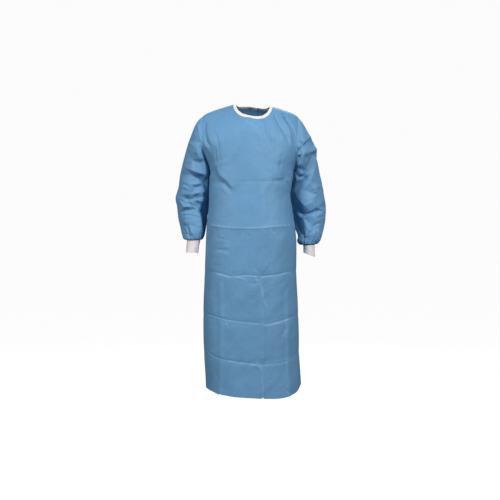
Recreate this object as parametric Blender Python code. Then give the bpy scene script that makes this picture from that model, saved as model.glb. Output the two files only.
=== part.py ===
"""A wrap-over surgical gown in its worn shape: front panel, two lapped back panels, set-in
sleeves, rib-knit cuffs, neck binding, neck tab and waist ties. Metres, +Z up, the front
towards -Y and the wearer's left towards +X. The origin lies between the shoulder seams'
neck ends, where the wearer carries the gown."""

import math

import bmesh
import bpy
import numpy as np
from mathutils.bvhtree import BVHTree

# Driving sizes
CLOTH = 0.0015
KNIT = 0.0016
SEAM_GAP = 0.0003
GOWN_BLUE = (0.16, 0.36, 0.62)
KNIT_WHITE = (0.88, 0.87, 0.90)
TIE_BLUE = (0.22, 0.44, 0.70)

# Sides of the garment, as the sign of y or of x
FRONT, BACK = -1, 1
RIGHT, LEFT = -1, 1


def table(names, *rows):
    """Columns by name. The first column is the one that the rest are read along."""
    ordered = sorted(rows)
    return {name: np.array([row[i] for row in ordered], float) for i, name in enumerate(names)}


# The body of the gown, level by level: its middle line, half width and depths
TORSO = table(
    ("height", "middle", "half_width", "front", "back"),
    (0.040, 0.0000, 0.250, 0.118, 0.105),
    (-0.048, 0.0000, 0.250, 0.124, 0.112),
    (-0.110, 0.0000, 0.250, 0.131, 0.122),
    (-0.170, 0.0010, 0.243, 0.138, 0.130),
    (-0.230, 0.0060, 0.214, 0.146, 0.134),
    (-0.290, 0.0085, 0.1905, 0.152, 0.134),
    (-0.355, 0.0030, 0.186, 0.157, 0.130),
    (-0.405, -0.0015, 0.183, 0.161, 0.126),
    (-0.463, 0.0020, 0.188, 0.166, 0.122),
    (-0.553, 0.0040, 0.199, 0.171, 0.123),
    (-0.616, 0.0050, 0.2034, 0.172, 0.130),
    (-0.765, 0.0023, 0.2061, 0.170, 0.141),
    (-0.895, 0.0030, 0.2118, 0.166, 0.146),
    (-1.040, 0.0053, 0.2144, 0.165, 0.148),
    (-1.110, 0.0067, 0.2133, 0.166, 0.149),
    (-1.183, 0.0113, 0.2136, 0.167, 0.150),
    (-1.255, 0.0154, 0.2140, 0.169, 0.151),
    (-1.330, 0.0165, 0.2140, 0.170, 0.152),
)
SECTION_FULLNESS = {FRONT: 2.45, BACK: 2.15}

# The shoulder line seen from the front, out from the middle
SHOULDER = table(
    ("out", "height"),
    (0.000, 0.0240),
    (0.040, 0.0130),
    (0.075, 0.0010),
    (0.100, -0.0062),
    (0.120, -0.0125),
    (0.150, -0.0222),
    (0.175, -0.0312),
    (0.190, -0.0372),
    (0.205, -0.0458),
    (0.2135, -0.0528),
    (0.240, -0.0745),
)
SHOULDER_END = 0.2135
ROUND_OVER = {FRONT: 0.160, BACK: 0.130}
ROUND_POWER = 1.7

# The armholes: how far inside the body's side line they run, from shoulder to armpit
ARMPIT = {RIGHT: -0.2835, LEFT: -0.3120}
ARMHOLE = table(
    ("share", "inset"),
    (0.00, 0.0365),
    (0.15, 0.0370),
    (0.46, 0.0380),
    (0.72, 0.0165),
    (0.89, 0.0040),
    (1.00, 0.0000),
)

# The neck opening
NECK_MIDDLE = 0.0125
NECK_HALF = 0.0845
NECK_DROP = {FRONT: 0.090, BACK: 0.030}
NECK_POWER = 1.1

# Where the back panels' free edges run past the middle: LEFT lies outside
LAP = table(
    ("height", "outer", "inner"),
    (0.000, 0.045, 0.030),
    (-0.250, 0.085, 0.060),
    (-0.480, 0.100, 0.075),
    (-0.900, 0.115, 0.085),
    (-1.330, 0.130, 0.090),
)
LAP_LIFT = 0.0038
LIFT_RUN = 0.045
LIFT_MARGIN = 0.008

# The front hem, from the wearer's right to the left
HEM = table(
    ("x", "height"),
    (-0.1980, -1.2650),
    (-0.1655, -1.2758),
    (-0.1290, -1.2868),
    (-0.1115, -1.2875),
    (-0.0760, -1.2926),
    (0.0110, -1.2980),
    (0.1155, -1.3015),
    (0.1511, -1.2985),
    (0.1874, -1.2880),
    (0.2063, -1.2790),
    (0.2260, -1.2515),
)

# Packing creases that run round the gown, and how much they rise at the sides
CREASES = (
    ("height", "side_rise", "relief"),
    (-0.3675, 0.010, -0.0020),
    (-0.5590, 0.014, 0.0020),
    (-0.7594, 0.013, -0.0030),
    (-0.9610, 0.015, -0.0030),
    (-1.1350, 0.022, -0.0035),
)
CREASE_REACH = 0.020
SIDE_REACH = 0.200
SEAM_FADE = 0.35

# Folds seen from the front: a line from start to end, its relief and its half width
FRONT_FOLDS = (
    ("x0", "z0", "x1", "z1", "relief", "reach"),
    (-0.055, -0.060, 0.025, -0.150, -0.0045, 0.030),
    (0.068, -0.080, 0.095, -0.215, -0.0035, 0.030),
    (0.118, -0.060, 0.180, -0.215, -0.0045, 0.030),
    (-0.165, -0.290, -0.050, -0.415, -0.0060, 0.050),
    (0.170, -0.235, 0.115, -0.345, -0.0055, 0.045),
    (-0.122, -0.860, -0.122, -1.310, 0.0030, 0.028),
    (0.0565, -0.360, 0.0565, -1.310, 0.0035, 0.030),
    (0.165, -0.900, 0.170, -1.310, 0.0025, 0.028),
)
BACK_FOLDS = (
    ("x0", "z0", "x1", "z1", "relief", "reach"),
    (0.100, -0.480, 0.110, -0.900, 0.0050, 0.035),
    (-0.150, -0.520, -0.155, -0.850, 0.0040, 0.030),
    (0.165, -0.260, 0.125, -0.450, -0.0050, 0.030),
    (-0.150, -0.260, -0.085, -0.440, -0.0050, 0.035),
    (0.040, -0.900, 0.045, -1.280, 0.0040, 0.030),
)

# Sleeves as rings: the outer and inner line, and depths in front of them and behind
SLEEVE_COLUMNS = ("ring", "out", "out_z", "in", "in_z", "front", "back", "out_y", "in_y")
RIGHT_SLEEVE = table(
    SLEEVE_COLUMNS,
    (1, 0.2225, -0.0600, 0.1870, -0.2778, 0.083, 0.077, 0.000, 0.000),
    (2, 0.2345, -0.0735, 0.1930, -0.2750, 0.083, 0.077, 0.001, 0.001),
    (3, 0.2478, -0.0955, 0.1980, -0.2800, 0.083, 0.077, 0.004, 0.004),
    (4, 0.2612, -0.1265, 0.1980, -0.2970, 0.083, 0.076, 0.009, 0.010),
    (5, 0.2772, -0.1665, 0.1925, -0.3185, 0.082, 0.075, 0.016, 0.021),
    (6, 0.2912, -0.2090, 0.1865, -0.3415, 0.080, 0.073, 0.025, 0.033),
    (7, 0.3044, -0.2620, 0.1845, -0.3690, 0.078, 0.071, 0.034, 0.044),
    (8, 0.3160, -0.3120, 0.1860, -0.3950, 0.076, 0.070, 0.041, 0.047),
    (9, 0.3232, -0.3650, 0.1865, -0.4170, 0.074, 0.069, 0.045, 0.049),
    (10, 0.3372, -0.4180, 0.1880, -0.4450, 0.072, 0.068, 0.047, 0.050),
    (11, 0.3308, -0.4530, 0.1895, -0.4720, 0.070, 0.066, 0.047, 0.049),
    (12, 0.3260, -0.4995, 0.1925, -0.5030, 0.067, 0.063, 0.043, 0.045),
    (13, 0.3168, -0.5440, 0.1965, -0.5400, 0.062, 0.059, 0.033, 0.035),
    (14, 0.3080, -0.5800, 0.2015, -0.5720, 0.056, 0.053, 0.018, 0.018),
    (15, 0.2998, -0.6010, 0.2085, -0.5950, 0.049, 0.047, 0.006, 0.006),
    (16, 0.2915, -0.6065, 0.2165, -0.6055, 0.041, 0.039, 0.000, 0.000),
)
LEFT_SLEEVE = table(
    SLEEVE_COLUMNS,
    (1, 0.2225, -0.0630, 0.2000, -0.3056, 0.088, 0.082, 0.000, 0.000),
    (2, 0.2345, -0.0785, 0.2063, -0.3024, 0.088, 0.082, 0.001, 0.001),
    (3, 0.2475, -0.0980, 0.2115, -0.3073, 0.088, 0.082, 0.004, 0.004),
    (4, 0.2622, -0.1240, 0.2115, -0.3240, 0.087, 0.081, 0.009, 0.010),
    (5, 0.2822, -0.1610, 0.2035, -0.3430, 0.085, 0.079, 0.016, 0.021),
    (6, 0.2981, -0.2010, 0.1940, -0.3650, 0.082, 0.076, 0.025, 0.033),
    (7, 0.3024, -0.2520, 0.1860, -0.3880, 0.079, 0.073, 0.034, 0.044),
    (8, 0.3133, -0.3070, 0.1850, -0.4120, 0.077, 0.071, 0.041, 0.047),
    (9, 0.3269, -0.3610, 0.1878, -0.4350, 0.075, 0.070, 0.045, 0.049),
    (10, 0.3375, -0.4140, 0.1915, -0.4620, 0.073, 0.068, 0.047, 0.050),
    (11, 0.3450, -0.4600, 0.1955, -0.4900, 0.070, 0.066, 0.047, 0.049),
    (12, 0.3435, -0.5060, 0.2003, -0.5210, 0.067, 0.063, 0.043, 0.045),
    (13, 0.3348, -0.5480, 0.2055, -0.5550, 0.063, 0.060, 0.034, 0.036),
    (14, 0.3232, -0.5870, 0.2185, -0.5900, 0.057, 0.055, 0.018, 0.018),
    (15, 0.3140, -0.6125, 0.2125, -0.6120, 0.050, 0.048, 0.006, 0.006),
    (16, 0.3010, -0.6255, 0.2220, -0.6285, 0.041, 0.039, 0.000, 0.000),
)
ARMHOLE_BLEND = 5

# The sleeves' large folds seen from the front, and those of the hidden back
SLEEVE_FOLD_COLUMNS = ("x0", "z0", "x1", "z1", "relief", "reach")
RIGHT_FRONT_FOLDS = (
    SLEEVE_FOLD_COLUMNS,
    (0.2926, -0.298, 0.2039, -0.3555, -0.0080, 0.032),
    (0.2700, -0.372, 0.1850, -0.3850, -0.0060, 0.028),
    (0.3000, -0.418, 0.2000, -0.4400, -0.0070, 0.030),
    (0.3000, -0.500, 0.2300, -0.5300, -0.0050, 0.030),
)
LEFT_FRONT_FOLDS = (
    SLEEVE_FOLD_COLUMNS,
    (0.2840, -0.236, 0.2390, -0.3510, -0.0100, 0.034),
    (0.2450, -0.174, 0.2280, -0.2900, -0.0060, 0.026),
    (0.2470, -0.497, 0.3340, -0.4640, -0.0080, 0.030),
    (0.2260, -0.498, 0.2615, -0.5595, 0.0060, 0.028),
)
SLEEVE_BACK_FOLDS = (
    SLEEVE_FOLD_COLUMNS,
    (0.2200, -0.180, 0.2800, -0.3200, -0.0060, 0.032),
    (0.2100, -0.420, 0.3200, -0.4000, -0.0070, 0.030),
    (0.2150, -0.500, 0.3100, -0.4700, -0.0060, 0.030),
)
GATHERS = 7
GATHER_RELIEF = table(
    ("ring", "relief"), (12, 0.0), (14, 0.0015), (15, 0.0025), (16, 0.0015), (17, 0.0)
)
SIDE_FADE = 0.5
COLLAR = 0.0042
COLLAR_PROUD = 0.0004

# Cuffs: the seam ring and the open end, as outer and inner line and half depth
CUFF_COLUMNS = ("end", "out", "out_z", "in", "in_z", "half_depth", "middle_y")
CUFFS = {
    RIGHT: table(
        CUFF_COLUMNS,
        (0, 0.2835, -0.6090, 0.2237, -0.6090, 0.0325, -0.002),
        (1, 0.2880, -0.6635, 0.2327, -0.6665, 0.0300, -0.010),
    ),
    LEFT: table(
        CUFF_COLUMNS,
        (0, 0.2910, -0.6305, 0.2394, -0.6325, 0.0310, -0.002),
        (1, 0.2925, -0.6830, 0.2405, -0.6645, 0.0290, -0.010),
    ),
}
CUFF_RIBS = 44
RIB_RELIEF = 0.0006
CUFF_STEPS = 2

# Neck binding
BINDING_HEIGHT = 0.0095
BINDING_PROUD = 0.0004
BINDING_INSIDE = 0.0019

# Pieces that lie on the back: the neck tab, the waist ties, their knot and free ends
TAPE = 0.0012
CLEARANCE = 0.0006
NEAR = 0.006
TAB_X = (-0.078, -0.016)
TAB_Z = (-0.050, -0.028)
TIE_HEIGHT = -0.470
TIE_HALF = 0.0125
TIE_ON_PANEL = 0.018
TIE_FROM_SEAM = 0.004
KNOT_X = (-0.150, -0.122)
KNOT_Z = (-0.486, -0.454)
KNOT_EDGE = 0.003
KNOT_RISE = 0.012
END_WIDTH = 0.022
TIE_ENDS = (
    ("hand", "x_top", "x_foot", "foot", "rise"),
    (RIGHT, -0.1485, -0.170, -0.668, 0.003),
    (LEFT, -0.1235, -0.108, -0.640, 0.003),
)

# How finely the cloth is divided, and small steps for slopes and comparisons
SHOULDER_STEPS = 6
NECK_STEPS = 14
BACK_NECK_STEPS = 7
FAN_POWER = 2.4
ARMHOLE_STEPS = 12
LEVEL_STEPS = (2, 4, 3, 3, 3, 3)
NECK_SAMPLES = 400
SLOPE_STEP = 1e-4
TOUCHING = 1e-6
SHARP_TURN = math.radians(50)


def read(source, name, at):
    """A smooth curve through one column of a table, without overshoot, flat past its ends."""
    keys = next(iter(source.values()))
    values = source[name]
    at = np.clip(np.asarray(at, float), keys[0], keys[-1])
    span = np.diff(keys)
    slope = np.diff(values) / span
    tangent = np.concatenate([slope[:1], np.zeros(len(slope) - 1), slope[-1:]])
    same = slope[:-1] * slope[1:] > 0
    product = 2 * slope[:-1] * slope[1:]
    total = np.where(same, slope[:-1] + slope[1:], 1.0)
    tangent[1:-1] = np.where(same, product / total, 0.0)
    k = np.clip(np.searchsorted(keys, at, side="right") - 1, 0, len(span) - 1)
    t = (at - keys[k]) / span[k]
    start, end = values[k], values[k + 1]
    lead, tail = tangent[k] * span[k], tangent[k + 1] * span[k]
    return (
        start * (1 + 2 * t) * (1 - t) ** 2
        + lead * t * (1 - t) ** 2
        + end * t**2 * (3 - 2 * t)
        + tail * t**2 * (t - 1)
    )


def ease(t):
    """From 0 to 1, level at both ends."""
    t = np.clip(t, 0, 1)
    return t * t * (3 - 2 * t)


def unit(vectors):
    length = np.linalg.norm(vectors, axis=-1, keepdims=True)
    return vectors / np.maximum(length, 1e-12)


def rise(curve, at):
    """The slope of a curve."""
    return (curve(at + SLOPE_STEP) - curve(at - SLOPE_STEP)) / (2 * SLOPE_STEP)


def ridge(x):
    """Height of the shoulder line."""
    return read(SHOULDER, "height", np.abs(x))


def body_depth(x, z, side):
    """How far the body's cloth stands in front of, or behind, the side seams' plane."""
    middle, half = read(TORSO, "middle", z), read(TORSO, "half_width", z)
    full = read(TORSO, "front" if side == FRONT else "back", z)
    across = np.clip(np.abs(x - middle) / half, 0, 1)
    drop = np.clip((ridge(x) - z) / ROUND_OVER[side], 0, 1)
    shoulder = (1 - (1 - drop) ** ROUND_POWER) ** (1 / ROUND_POWER)
    power = SECTION_FULLNESS[side]
    return full * shoulder * (1 - across**power) ** (1 / power)


def side_line(z, hand):
    return read(TORSO, "middle", z) + hand * read(TORSO, "half_width", z)


def panel_edge(z, hand):
    """The outer edge of front and back: the armhole, then the side seam below the armpit."""
    top = ridge(SHOULDER_END)
    share = (top - z) / (top - ARMPIT[hand])
    return side_line(z, hand) - hand * read(ARMHOLE, "inset", share)


def edge_angle(x, z, side):
    """The angle round the body's section at which its cloth reaches x."""
    middle, half = read(TORSO, "middle", z), read(TORSO, "half_width", z)
    across = np.clip((x - middle) / half, -1, 1)
    return np.sign(across) * np.arcsin(np.abs(across) ** (SECTION_FULLNESS[side] / 2))


def at_angle(angle, z, side):
    middle, half = read(TORSO, "middle", z), read(TORSO, "half_width", z)
    sine = np.sin(angle)
    return middle + half * np.sign(sine) * np.abs(sine) ** (2 / SECTION_FULLNESS[side])


def neck_height(x, side):
    """Height of the neck edge above the cloth at x."""
    cosine = np.clip((NECK_MIDDLE - x) / NECK_HALF, -1, 1)
    return ridge(x) - NECK_DROP[side] * np.sqrt(1 - cosine**2) ** NECK_POWER


def levels(x, side):
    """Heights of the armpit line, the packing creases and the hem at x."""
    lean = (ARMPIT[LEFT] - ARMPIT[RIGHT]) / 2
    armpit = (ARMPIT[LEFT] + ARMPIT[RIGHT]) / 2 + lean * np.clip(x / SIDE_REACH, -1, 1)
    found = [armpit]
    for height, side_rise, _ in CREASES[1:]:
        found.append(height + side_rise * (x / SIDE_REACH) ** 2)
    if side == FRONT:
        found.append(read(HEM, "height", x))
    else:
        ends = HEM["height"][0], HEM["height"][-1]
        share = (x - HEM["x"][0]) / (HEM["x"][-1] - HEM["x"][0])
        found.append(ends[0] + (ends[1] - ends[0]) * ease(share))
    return found


def fold_relief(folds, x, z):
    """Height of a set of straight folds at points seen from the front."""
    total = np.zeros(np.shape(x))
    for x0, z0, x1, z1, relief, reach in folds[1:]:
        run = np.array([x1 - x0, z1 - z0])
        along = ((x - x0) * run[0] + (z - z0) * run[1]) / (run @ run)
        nearest = np.clip(along, 0, 1)
        away = np.hypot(x - x0 - nearest * run[0], z - z0 - nearest * run[1])
        total += relief * ease(1 - away / reach)
    return total


def crease_relief(x, z):
    total = np.zeros(np.shape(x))
    for height, side_rise, relief in CREASES[1:]:
        away = np.abs(z - height - side_rise * (x / SIDE_REACH) ** 2)
        total += relief * np.clip(1 - away / CREASE_REACH, 0, 1)
    return total


def lap_lift(x, z):
    """How far the outer back panel stands off, where it lies on the inner one."""
    start = read(LAP, "inner", z) + LIFT_RUN + LIFT_MARGIN
    return LAP_LIFT * ease((start - x) / LIFT_RUN)


def neck_columns(start, end, side, steps):
    """Where columns start on the neck edge, evenly along it between two of its angles."""
    turn = np.linspace(start, end, NECK_SAMPLES)
    x = NECK_MIDDLE - NECK_HALF * np.cos(turn)
    z = neck_height(x, side)
    y = body_depth(x, z, side)
    steps_long = np.linalg.norm(np.diff(np.stack([x, y, z]), axis=1), axis=0)
    along = np.concatenate([[0], np.cumsum(steps_long)])
    even = np.interp(np.linspace(0, along[-1], steps + 1), along, turn)
    return NECK_MIDDLE - NECK_HALF * np.cos(even)


def columns_of(side, hand=None):
    """The panel's columns: share of the way round, and where each starts at the top."""
    if side == FRONT:
        neck_x = neck_columns(0, math.pi, side, NECK_STEPS)
        right_x = np.linspace(-SHOULDER_END, neck_x[0], SHOULDER_STEPS + 1)
        left_x = np.linspace(neck_x[-1], SHOULDER_END, SHOULDER_STEPS + 1)
        top_x = np.concatenate([right_x, neck_x[1:-1], left_x])
        return np.linspace(-1, 1, len(top_x)), top_x
    free = -read(LAP, "outer", 0.0) if hand == LEFT else read(LAP, "inner", 0.0)
    start = math.acos((NECK_MIDDLE - free) / NECK_HALF)
    neck_x = neck_columns(start, math.pi if hand == LEFT else 0, side, BACK_NECK_STEPS)
    shoulder_x = np.linspace(neck_x[-1], hand * SHOULDER_END, SHOULDER_STEPS + 1)
    top_x = np.concatenate([neck_x, shoulder_x[1:]])
    return np.linspace(0, 1, len(top_x)), top_x


def column_x(share, z, side, hand=None):
    """Where a column lies at height z, away from the shoulders."""
    if side == FRONT:
        turn_hand = np.where(share < 0, RIGHT, LEFT)
        edges = np.where(share < 0, panel_edge(z, RIGHT), panel_edge(z, LEFT))
        return at_angle(turn_hand * share * edge_angle(edges, z, side), z, side)
    free = -read(LAP, "outer", z) if hand == LEFT else read(LAP, "inner", z)
    start, end = edge_angle(free, z, side), edge_angle(panel_edge(z, hand), z, side)
    return at_angle(start + share * (end - start), z, side)


def on_shoulder(x):
    """Which of a panel's top points lie on the shoulder seam, neck ends included."""
    return np.abs(x - NECK_MIDDLE) > NECK_HALF - TOUCHING


def panel_points(side, hand=None):
    """The base points of a body panel, as rows of columns from shoulder to hem."""
    share, top_x = columns_of(side, hand)
    top_z = np.where(on_shoulder(top_x), ridge(top_x), neck_height(top_x, side))
    shift = top_x - column_x(share, top_z, side, hand)
    steps = np.arange(ARMHOLE_STEPS + 1) / ARMHOLE_STEPS
    guide = column_x(share, np.full(len(share), np.mean(list(ARMPIT.values()))), side, hand)
    armpit = levels(guide, side)[0]
    rows = []
    for step in steps:
        z = top_z - (top_z - armpit) * (1 - math.cos(math.pi * step)) / 2
        x = column_x(share, z, side, hand) + shift * (1 - step) ** FAN_POWER
        rows.append((x, z))
    for k, count in enumerate(LEVEL_STEPS):
        for step in np.arange(1, count + 1) / count:
            near = column_x(share, rows[-1][1], side, hand)
            here = levels(near, side)
            z = here[k] + (here[k + 1] - here[k]) * step
            rows.append((column_x(share, z, side, hand), z))
    x = np.array([row[0] for row in rows])
    z = np.array([row[1] for row in rows])
    return np.stack([x, side * body_depth(x, z, side), z], axis=-1)


def panel_normals(points, side, hand=None):
    """Outward directions, shared along shoulder and side seams with the next piece."""
    down, across = np.gradient(points, axis=0), np.gradient(points, axis=1)
    normals = unit(np.cross(down, across))
    if normals[..., 1].mean() * side < 0:
        normals = -normals
    shoulders = on_shoulder(points[0, :, 0])
    x = points[0, shoulders, 0]
    slope = rise(ridge, x)
    normals[0, shoulders] = unit(np.stack([-slope, 0 * x, 1 + 0 * x], axis=-1))
    for edge_hand, column in {hand: -1}.items() if hand else ((RIGHT, 0), (LEFT, -1)):
        z = points[ARMHOLE_STEPS:, column, 2]
        lean = rise(lambda height: side_line(height, edge_hand), z)
        direction = edge_hand * np.stack([1 + 0 * z, 0 * z, -lean], axis=-1)
        normals[ARMHOLE_STEPS:, column] = unit(direction)
    return normals


def panel_relief(points, side, hand=None):
    """Creases all round, folds that die out towards the seams, and the lap's lift."""
    x, z = points[..., 0], points[..., 2]
    inside = body_depth(x, z, side) / read(TORSO, "front" if side == FRONT else "back", z)
    relief = crease_relief(x, z)
    folds = FRONT_FOLDS if side == FRONT else BACK_FOLDS
    relief = relief + fold_relief(folds, x, z) * ease(inside / SEAM_FADE)
    if hand == LEFT:
        relief = relief + lap_lift(x, z)
    return relief


def seam_shift(points, side):
    """Half a seam gap at the shoulder and side seams."""
    shift = np.zeros(points.shape)
    shift[0, on_shoulder(points[0, :, 0]), 1] = side * SEAM_GAP / 2
    for column in [0, -1] if side == FRONT else [-1]:
        shift[ARMHOLE_STEPS:, column, 1] = side * SEAM_GAP / 2
    return shift


def material(name, colour, roughness):
    made = bpy.data.materials.new(name)
    made.use_nodes = True
    shader = made.node_tree.nodes["Principled BSDF"]
    shader.inputs["Base Color"].default_value = (*colour, 1)
    shader.inputs["Roughness"].default_value = roughness
    shader.inputs["Metallic"].default_value = 0.0
    return made


def wall(name, outer, inner, finish, around=False):
    """A closed wall of cloth from two grids of points, outer and inner, of the same size."""
    mesh = bpy.data.meshes.new(name)
    bm = bmesh.new()
    place = bm.verts.layers.int.new("place")
    rows, columns = outer.shape[:2]
    verts = []
    for number, point in enumerate(outer.reshape(-1, 3)):
        vert = bm.verts.new(point)
        vert[place] = number
        verts.append(vert)
    for row in range(rows - 1):
        for column in range(columns if around else columns - 1):
            following = (column + 1) % columns
            corners = [
                row * columns + column,
                row * columns + following,
                (row + 1) * columns + following,
                (row + 1) * columns + column,
            ]
            bm.faces.new([verts[corner] for corner in corners])
    bmesh.ops.triangulate(bm, faces=bm.faces[:], quad_method="SHORT_EDGE")
    made = bmesh.ops.extrude_face_region(bm, geom=bm.faces[:], use_keep_orig=True)
    behind = inner.reshape(-1, 3)
    for item in made["geom"]:
        if isinstance(item, bmesh.types.BMVert):
            item.co = behind[item[place]]
    bmesh.ops.recalc_face_normals(bm, faces=bm.faces[:])
    bm.to_mesh(mesh)
    bm.free()
    mesh.shade_smooth()
    mesh.set_sharp_from_angle(angle=SHARP_TURN)
    mesh.materials.append(finish)
    bpy.context.scene.collection.objects.link(bpy.data.objects.new(name, mesh))


def body_panel(name, side, hand, finish):
    """Makes a body panel and returns its points and outward directions."""
    points = panel_points(side, hand)
    normals = panel_normals(points, side, hand)
    shaped = points + normals * panel_relief(points, side, hand)[..., None]
    moved = shaped + seam_shift(points, side)
    wall(name, moved, moved - normals * CLOTH, finish)
    return shaped, normals


def armhole_ring(front, back, hand):
    """Points and directions round an armhole: shoulder, front, armpit, back."""
    front_column = -1 if hand == LEFT else 0
    return tuple(
        np.concatenate([ahead[: ARMHOLE_STEPS + 1, front_column], behind[1:ARMHOLE_STEPS, -1][::-1]])
        for ahead, behind in zip(front, back)
    )


def away_from_panel(points, normals, hand):
    """The direction in the cloth that leads from the armhole into the sleeve."""
    along = np.roll(points, -1, axis=0) - np.roll(points, 1, axis=0)
    return hand * unit(np.cross(normals, unit(along)))


def ring_points(row, hand, turn):
    """A sleeve ring: an ellipse between its outer and inner line."""
    outer = np.array([hand * row["out"], row["out_y"], row["out_z"]])
    inner = np.array([hand * row["in"], row["in_y"], row["in_z"]])
    sine = np.sin(turn)
    reach = np.where(sine >= 0, -row["front"] * sine, -row["back"] * sine)
    points = (outer + inner) / 2 + np.cos(turn)[:, None] * (outer - inner) / 2
    points[:, 1] += reach
    return points


def sleeve_rows(source):
    return [{name: values[i] for name, values in source.items()} for i in range(len(source["ring"]))]


def sleeve_relief(points, ring, hand, turn):
    """Large folds on the front and back, and the gathers above the cuff."""
    x, z = hand * points[:, 0], points[:, 2]
    ahead = np.clip(np.sin(turn) / SIDE_FADE, -1, 1)
    front = RIGHT_FRONT_FOLDS if hand == RIGHT else LEFT_FRONT_FOLDS
    relief = fold_relief(front, x, z) * np.clip(ahead, 0, 1)
    relief = relief + fold_relief(SLEEVE_BACK_FOLDS, x, z) * np.clip(-ahead, 0, 1)
    waves = np.cos(turn * GATHERS)
    return relief + read(GATHER_RELIEF, "relief", ring) * waves


def sleeve(name, source, hand, front, back, finish):
    """A sleeve from its armhole to the ring that meets the cuff."""
    hole, hole_normals = armhole_ring(front, back, hand)
    turn = np.arange(len(hole)) * 2 * math.pi / len(hole)
    outward = away_from_panel(hole, hole_normals, hand)
    rows = sleeve_rows(source)
    armhole_row = {
        "out": hand * hole[0, 0],
        "out_z": hole[0, 2],
        "in": hand * hole[ARMHOLE_STEPS, 0],
        "in_z": hole[ARMHOLE_STEPS, 2],
        "front": rows[0]["front"],
        "back": rows[0]["back"],
        "out_y": 0.0,
        "in_y": 0.0,
    }
    own_shape = hole - ring_points(armhole_row, hand, turn)
    rings = [hole + outward * SEAM_GAP]
    for number, row in enumerate(rows, start=1):
        left_over = (1 - min(number / ARMHOLE_BLEND, 1)) ** 2
        rings.append(ring_points(row, hand, turn) + own_shape * left_over)
    seam = cuff_ring(hand, 0, turn)
    rings.append(seam + radial(seam) * COLLAR_PROUD + np.array([0, 0, COLLAR]))
    rings.append(seam + np.array([0, 0, SEAM_GAP]))
    base = np.array(rings)
    normals = tube_normals(base)
    normals[0] = hole_normals
    normals[-1] = radial(seam)
    shaped = base.copy()
    for ring in range(1, len(rings) - 1):
        relief = sleeve_relief(base[ring], ring, hand, turn)
        shaped[ring] += normals[ring] * relief[:, None]
    wall(name, shaped, shaped - normals * CLOTH, finish, around=True)


def tube_normals(rings):
    """Outward directions of a tube given as rings."""
    along = np.gradient(rings, axis=0)
    around = np.roll(rings, -1, axis=1) - np.roll(rings, 1, axis=1)
    normals = unit(np.cross(along, around))
    middles = rings.mean(axis=1, keepdims=True)
    middle_row = len(rings) // 2
    outward = ((rings - middles) * normals).sum(axis=-1)[middle_row].mean()
    return normals * np.sign(outward)


def radial(ring):
    """Level directions out from the middle of a level ring, square to its outline."""
    along = np.roll(ring, -1, axis=0) - np.roll(ring, 1, axis=0)
    along[:, 2] = 0
    normals = unit(np.cross(along, np.array([0, 0, 1.0])))
    outward = ((ring - ring.mean(axis=0)) * normals).sum(axis=-1).mean()
    return normals * np.sign(outward)


def cuff_ring(hand, end, turn):
    """A ring of the cuff, between its seam (end 0) and its open end (end 1)."""
    row = {name: read(CUFFS[hand], name, end) for name in CUFF_COLUMNS}
    row["front"] = row["back"] = row["half_depth"]
    row["out_y"] = row["in_y"] = row["middle_y"]
    return ring_points(row, hand, turn)


def cuff(name, hand, finish):
    """A knit cuff, ribbed outside and plain inside."""
    count = 2 * CUFF_RIBS
    turn = np.arange(count) * 2 * math.pi / count
    ribs = RIB_RELIEF * (np.arange(count) % 2)
    rings = np.array([cuff_ring(hand, end, turn) for end in np.linspace(0, 1, CUFF_STEPS + 1)])
    normals = np.array([radial(ring) for ring in rings])
    outer = rings + normals * ribs[:, None]
    wall(name, outer, rings - normals * KNIT, finish, around=True)


def neck_run(panel):
    """Points, directions and upward directions of a panel's neck edge."""
    points, normals = panel
    near = np.abs(points[0, :, 0] - NECK_MIDDLE) < NECK_HALF + TOUCHING
    up = unit(points[0, near] - points[1, near])
    return points[0, near], normals[0, near], up


def neck_binding(front, outer_back, inner_back, finish):
    """The folded strip on the neck edge, its ends lapped like the back panels."""
    runs = [neck_run(outer_back), neck_run(front), neck_run(inner_back)]
    order = [slice(0, -1), slice(None, None, -1), slice(-2, None, -1)]
    points, normals, up = (
        np.concatenate([run[part][cut] for run, cut in zip(runs, order)]) for part in range(3)
    )
    corners = len(runs[0][0]) - 1, len(runs[0][0]) - 1 + len(runs[1][0]) - 1
    for corner in corners:
        normals[corner] = unit(normals[corner - 1] + normals[corner + 1])
        up[corner] = unit(up[corner - 1] + up[corner + 1])
    up = unit(up - normals * (up * normals).sum(axis=-1, keepdims=True))
    heights = np.array([SEAM_GAP, BINDING_HEIGHT])
    base = points[None] + up[None] * heights[:, None, None]
    wall("neck_binding", base + normals * BINDING_PROUD, base - normals * BINDING_INSIDE, finish)


def back_surface(x, z):
    """Point and outward direction of the back's base cloth."""
    point = np.stack([x, body_depth(x, z, BACK), z], axis=-1)
    slope_x = rise(lambda across: body_depth(across, z, BACK), x)
    slope_z = rise(lambda up: body_depth(x, up, BACK), z)
    return point, unit(np.stack([-slope_x, np.ones(np.shape(x)), -slope_z], axis=-1))


def surface_tree(name):
    mesh = bpy.data.objects[name].data
    corners = [vertex.co for vertex in mesh.vertices]
    return BVHTree.FromPolygons(corners, [face.vertices for face in mesh.polygons])


def cloth_stand(panels, x, z):
    """How far the panels' cloth stands off the base at most, close round each point."""
    highest = np.full(x.shape, -1.0)
    for across in (-NEAR, 0, NEAR):
        for up in (-NEAR, 0, NEAR):
            base, normal = back_surface(x + across, z + up)
            for place in np.ndindex(x.shape):
                start = (base[place][0], 1.0, base[place][2])
                hits = [panel.ray_cast(start, (0, -1, 0))[0] for panel in panels]
                outermost = max((hit.y for hit in hits if hit), default=-1.0)
                stand = (outermost - base[place][1]) * normal[place][1]
                highest[place] = max(highest[place], stand)
    return highest


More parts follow.
